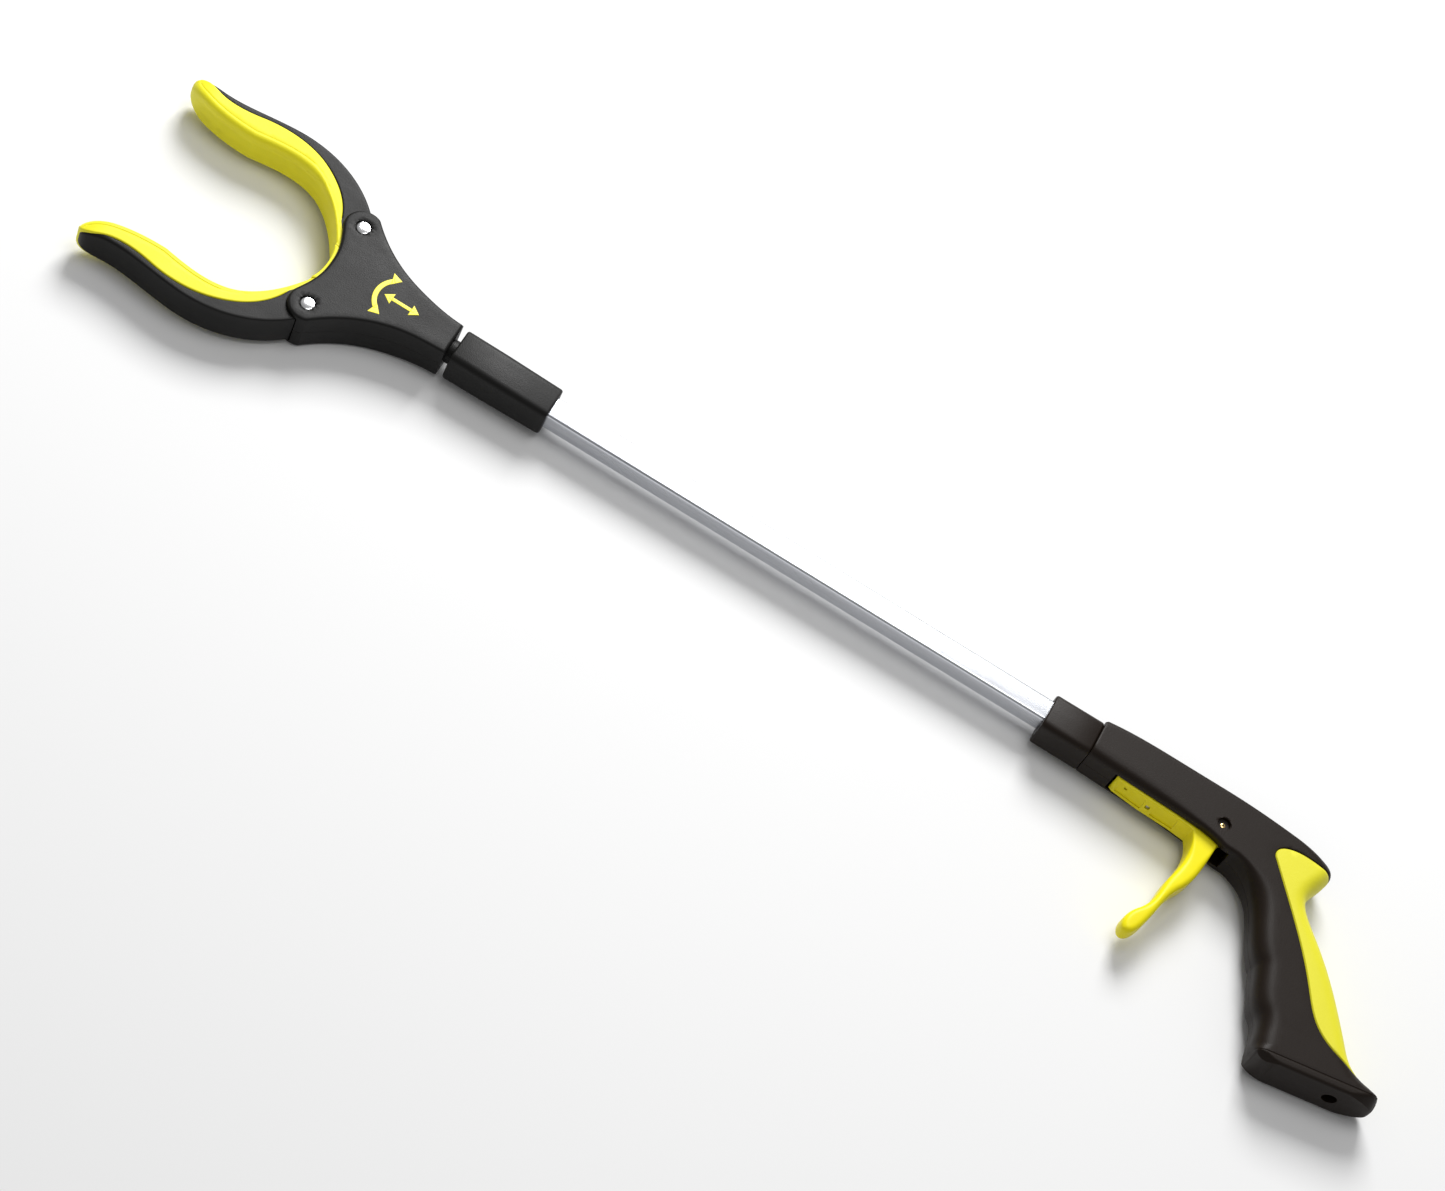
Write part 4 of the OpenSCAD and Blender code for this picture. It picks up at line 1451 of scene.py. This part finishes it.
@dataclass
class Jaw(Assembly):
    """One jaw: its black carrier, the arm inside the head and the soft pad over it.

    Attributes:
        upper: whether it is the upper jaw, or the lower one.
        half: half width of the carrier.
        pin_y: distance of the jaw pins from the tube's axis.
        pad_end: distance of the pad's inner end from the jaw pin.
        pad_half: half width of the pad.
        pad_root: half width of the pad where it enters the head.
        arm_half: half width of the arm inside the head.
        dish_deep: depth of the channel along the pad's face.
    """

    upper: bool = True
    half: float = 9.78
    pin_y: float = 28.0
    pad_end: float = 16.6
    pad_half: float = 10.45
    pad_root: float = 9.7
    arm_half: float = 5.75
    dish_deep: float = 0.9

    def __post_init__(self) -> None:
        """Draws the jaw's lines, for the upper jaw."""
        self.back = curve(
            (-2, 39.8),
            ((-13, 51.4), (-30, 60.4), (-52, 60.2), 26),
            ((-69, 59.8), (-85, 54.6), (-101, 57), 26),
            ((-106, 57.8), (-111.5, 59.6), (-112.4, 56), 14),
        ) + [(-112.4, 56)]
        self.cover = curve(
            (-114, 53.5),
            ((-114, 56.2), (-112.4, 57.4), (-109.5, 57.3), 10),
            ((-104.5, 57), (-103, 55.4), (-98, 53.9), 12),
        )
        self.seam = curve(
            (-98, 53.9),
            ((-90, 51.9), (-82, 52.8), (-72, 55), 16),
            ((-58, 57.5), (-45, 56), (-34, 50.5), 20),
            ((-23, 45), (-15, 37), (-11.5, 26), 16),
        )
        self.face = curve(
            (-114, 53.5),
            ((-112.5, 48.8), (-98, 41.2), (-72, 41.6), 30),
            ((-56, 44.6), (-44, 46), (-32, 40.8), 26),
            ((-21, 35.4), (-13, 24.4), (-6.6, 12.8), 26),
        )
        self.side = "upper" if self.upper else "lower"
        self.body = Body.UPPER_JAW if self.upper else Body.LOWER_JAW

    def _spoon(self, at: Plan, start: float, length: float, share: float) -> Plan:
        """Share of the full width that is left towards the round tip, along part of an ellipse."""
        run = np.clip((-at[:, 0] - start) / length, 0, 1)
        return np.sqrt(1 - share * run**2)

    def _place(self, name: str, shape: Shape, stock: Stock, stands_for: Sequence[str] = ()) -> None:
        """Makes a piece of this jaw from the upper jaw's shape."""
        self.add(name, shape if self.upper else shape.turned_over(), stock, self.body, stands_for)

    def build_carrier(self) -> None:
        """The carrier, with a round back edge and a crease along the pad."""
        root = [(-11.5, 26), (-9, 22.4), (-0.6, 22.2)]
        rim = Line([(-0.6, 38.3)] + self.back + [(-104, 54.9)] + self.seam + root, step=1.6)
        back = Line([(-0.6, 38.3)] + self.back, closed=False)
        seam = Line(self.seam, closed=False)
        knuckle = ring_of((0, self.pin_y), 6.4)

        def keep(at: Plan) -> Plan:
            return rim.inside(at) | knuckle.inside(at)

        def top(at: Plan) -> Plan:
            outside = back.distance(at)
            radius = 1.1 + 0.9 * eased(-at[:, 0], 70, 108)
            high = self.half * self._spoon(at, 98, 15.8, 0.97)
            return high - radius * rounded(outside, radius) - 0.35 * rounded(seam.distance(at), 0.6)

        lines = [(rim, (0.12, 0.35, 0.8, 1.4, 2.2, 3.2)), (knuckle, (0.4,))]
        shape = Relief(lines, keep, top, spacing=2.2).shape()
        name = f"jaw_{self.side}"
        self._place(name + "_carrier", shape, Stock.HEAD_PLASTIC, (name,))
        self._place(name + "_arm", self._arm(), Stock.HEAD_PLASTIC)

    def _arm(self) -> Shape:
        """The short arm inside the head, with the slot that the crosshead's pin drives."""
        steps, stroke, drive, close, slot = 24, 15.0, 4.0, 25.0, 2.25
        path = []
        for i in range(steps + 1):
            t = i / steps
            a = math.radians(-close * t)
            x, y = drive + stroke * t, -self.pin_y
            path.append((x * math.cos(a) - y * math.sin(a), self.pin_y + x * math.sin(a) + y * math.cos(a)))
        way = Line(path, closed=False)
        spine = Line([(0, self.pin_y), path[-1]], closed=False)
        reach = slot + 2.5

        def keep(at: Plan) -> Plan:
            return (spine.distance(at) < reach) & (way.distance(at) > slot)

        def top(at: Plan) -> Plan:
            return np.full(len(at), self.arm_half)

        return Relief([(spine, (reach,)), (way, (slot, slot + 0.5))], keep, top, 0.35, 0.9).shape()

    def build_pad(self) -> None:
        """The soft pad: a boot round the tip, with round rims and a shallow channel between them."""
        edge = self.face + arc((0, self.pin_y), self.pad_end, -113.5, -101, 8)
        outer = self.cover + self.seam
        edge += [(-5, 19.6), (-9, 22.4)] + outer[:0:-1]
        rim = Line(edge, step=1.6)
        grip_face = Line(self.face, closed=False)
        hidden = Line(outer, closed=False)

        def top(at: Plan) -> Plan:
            reach = eased(-at[:, 0], 22, 40)
            high = self.pad_root + (self.pad_half - self.pad_root) * reach
            high = high * self._spoon(at, 99, 16.5, 0.9)
            inner = grip_face.distance(at)
            soft = 1.2 + 1.9 * reach
            crease = groove(np.abs(inner - soft - 0.5), 0.5, 0.3)
            return high - soft * rounded(inner, soft) - crease - 0.9 * rounded(hidden.distance(at), 0.8)

        def dish(at: Plan) -> Plan:
            along = eased(-at[:, 0], 14, 40) * (1 - eased(-at[:, 0], 100, 112))
            return self.dish_deep * along * (grip_face.distance(at) < 0.1)

        steps = (0.1, 0.3, 0.6, 1.0, 1.5, 2.1, 2.7, 3.2, 3.6, 4.1)
        shape = Relief([(rim, steps)], rim.inside, top, spacing=1.9, dish=dish).shape()
        name = f"jaw_pad_{self.side}"
        self._place(name + "_boot", shape, Stock.YELLOW_RUBBER, (name,))

    def build(self) -> None:
        """Builds the jaw."""
        self.build_carrier()
        self.build_pad()


# --- Carried parts, room and light ---


class Works:
    """The inner parts and screws, whose shapes are already right: they only get their finish."""

    def __init__(self, paint: Paintshop) -> None:
        """Keeps the paintshop."""
        self.paint = paint

    def dress(self) -> None:
        """Gives every node of the frame the finish of its slot."""
        for part in frame["record"]["subparts"]:
            node = frame["nodes"][part["node"]]
            stock = Stock(part["material_slot"])
            for place in node.material_slots:
                place.material = self.paint.of(stock)
            if not node.material_slots:
                node.data.materials.append(self.paint.of(stock))
            LOG.info("%s: finished in %s", node.name, stock.value)


@dataclass(frozen=True)
class Lamp:
    """A soft square light.

    Attributes:
        name: its name.
        place: where it hangs, in metres.
        size: its edge in metres.
        power: watts.
    """

    name: str
    place: tuple[float, float, float]
    size: float
    power: float


@dataclass
class Studio:
    """Floor, lights and camera.

    Attributes:
        tilt: angle of the camera's view from straight down, in degrees.
        roll: turn of the camera about its view, in degrees.
        distance: from the object's middle, in metres.
        aim: offset of the camera's target from that middle, in metres.
        lens: focal length in millimetres.
        sensor: width of the sensor in millimetres.
        floor_half: half the floor's edge in metres.
        floor_gap: how far the floor lies under the object, in metres.
        floor_tints: darkest and lightest grey of the floor.
        sky: strength of the even light from all round.
        lamps: a large key from behind and above, and a weaker one on top.
    """

    tilt: float = 33.0
    roll: float = 31.5
    distance: float = 1.8187
    aim: tuple[float, float] = (-0.0174, -0.0144)
    lens: float = 92.1
    sensor: float = 36.0
    floor_half: float = 14.0
    floor_gap: float = 0.0002
    floor_tints: tuple[float, float] = (0.79, 0.82)
    sky: float = 0.3
    lamps: tuple[Lamp, ...] = (
        Lamp("key", (-0.35, 1.45, 1.35), 0.9, 48),
        Lamp("top", (0.25, 0.35, 2.4), 1.0, 15),
    )

    def build_floor(self) -> None:
        """A wide plain floor just under the object."""
        mesh = bpy.data.meshes.new("floor")
        half = self.floor_half
        corners = [(x, y, 0) for x, y in oblong(-half, -half, half, half)]
        mesh.from_pydata(corners, [], [(0, 1, 2, 3)])
        floor = bpy.data.objects.new("floor", mesh)
        floor.location.z = -self.floor_gap
        bpy.context.scene.collection.objects.link(floor)
        net = Net("pale_floor")
        cloud = net.noise(1.2, 2)
        low, high = self.floor_tints
        tint = net.blend(cloud, (low, low, low), (high, high, high))
        floor.data.materials.append(net.surface(Base_Color=tint, Roughness=0.9, Specular_IOR_Level=0.1))

    def build_lights(self) -> None:
        """The lamps, pointed at the object, and an even sky."""
        centre = (cad_box[0] + cad_box[1]) / 2
        for lamp in self.lamps:
            data = bpy.data.lights.new(lamp.name, "AREA")
            data.shape = "SQUARE"
            data.size = lamp.size
            data.energy = lamp.power
            light = bpy.data.objects.new(lamp.name, data)
            light.location = lamp.place
            light.rotation_euler = (Vector(lamp.place) - centre).to_track_quat("Z", "Y").to_euler()
            bpy.context.scene.collection.objects.link(light)
        world = bpy.data.worlds.new("studio")
        bpy.context.scene.world = world
        world.use_nodes = True
        back = world.node_tree.nodes["Background"]
        back.inputs["Color"].default_value = (*WHITE, 1.0)
        back.inputs["Strength"].default_value = self.sky

    def build_camera(self) -> None:
        """The camera, tilted from above and rolled."""
        tilt, roll = math.radians(self.tilt), math.radians(self.roll)
        back = Vector((0, -math.sin(tilt), math.cos(tilt)))
        flat = Vector((0, math.cos(tilt), math.sin(tilt)))
        right = math.cos(roll) * Vector((1, 0, 0)) + math.sin(roll) * flat
        up = -math.sin(roll) * Vector((1, 0, 0)) + math.cos(roll) * flat
        centre = (cad_box[0] + cad_box[1]) / 2
        data = bpy.data.cameras.new("camera")
        data.lens = self.lens
        data.sensor_width = self.sensor
        camera = bpy.data.objects.new("camera", data)
        place = centre + Vector((*self.aim, 0)) + back * self.distance
        turned = Matrix((right, up, back)).transposed().to_4x4()
        camera.matrix_world = Matrix.Translation(place) @ turned
        bpy.context.scene.collection.objects.link(camera)
        bpy.context.scene.camera = camera

    def build(self) -> None:
        """Builds the whole studio."""
        bpy.context.scene.view_settings.view_transform = "Standard"
        self.build_camera()
        self.build_floor()
        self.build_lights()


def main() -> None:
    """Builds the scene."""
    logging.basicConfig(level=logging.INFO, format="%(name)s: %(message)s")
    paint = Paintshop()
    bench = Workbench(paint)
    Studio().build()
    Works(paint).dress()
    Shaft(bench).build()
    Handle(bench).build()
    Head(bench).build()
    Jaw(bench, upper=True).build()
    Jaw(bench, upper=False).build()


if __name__ == "__main__":
    main()
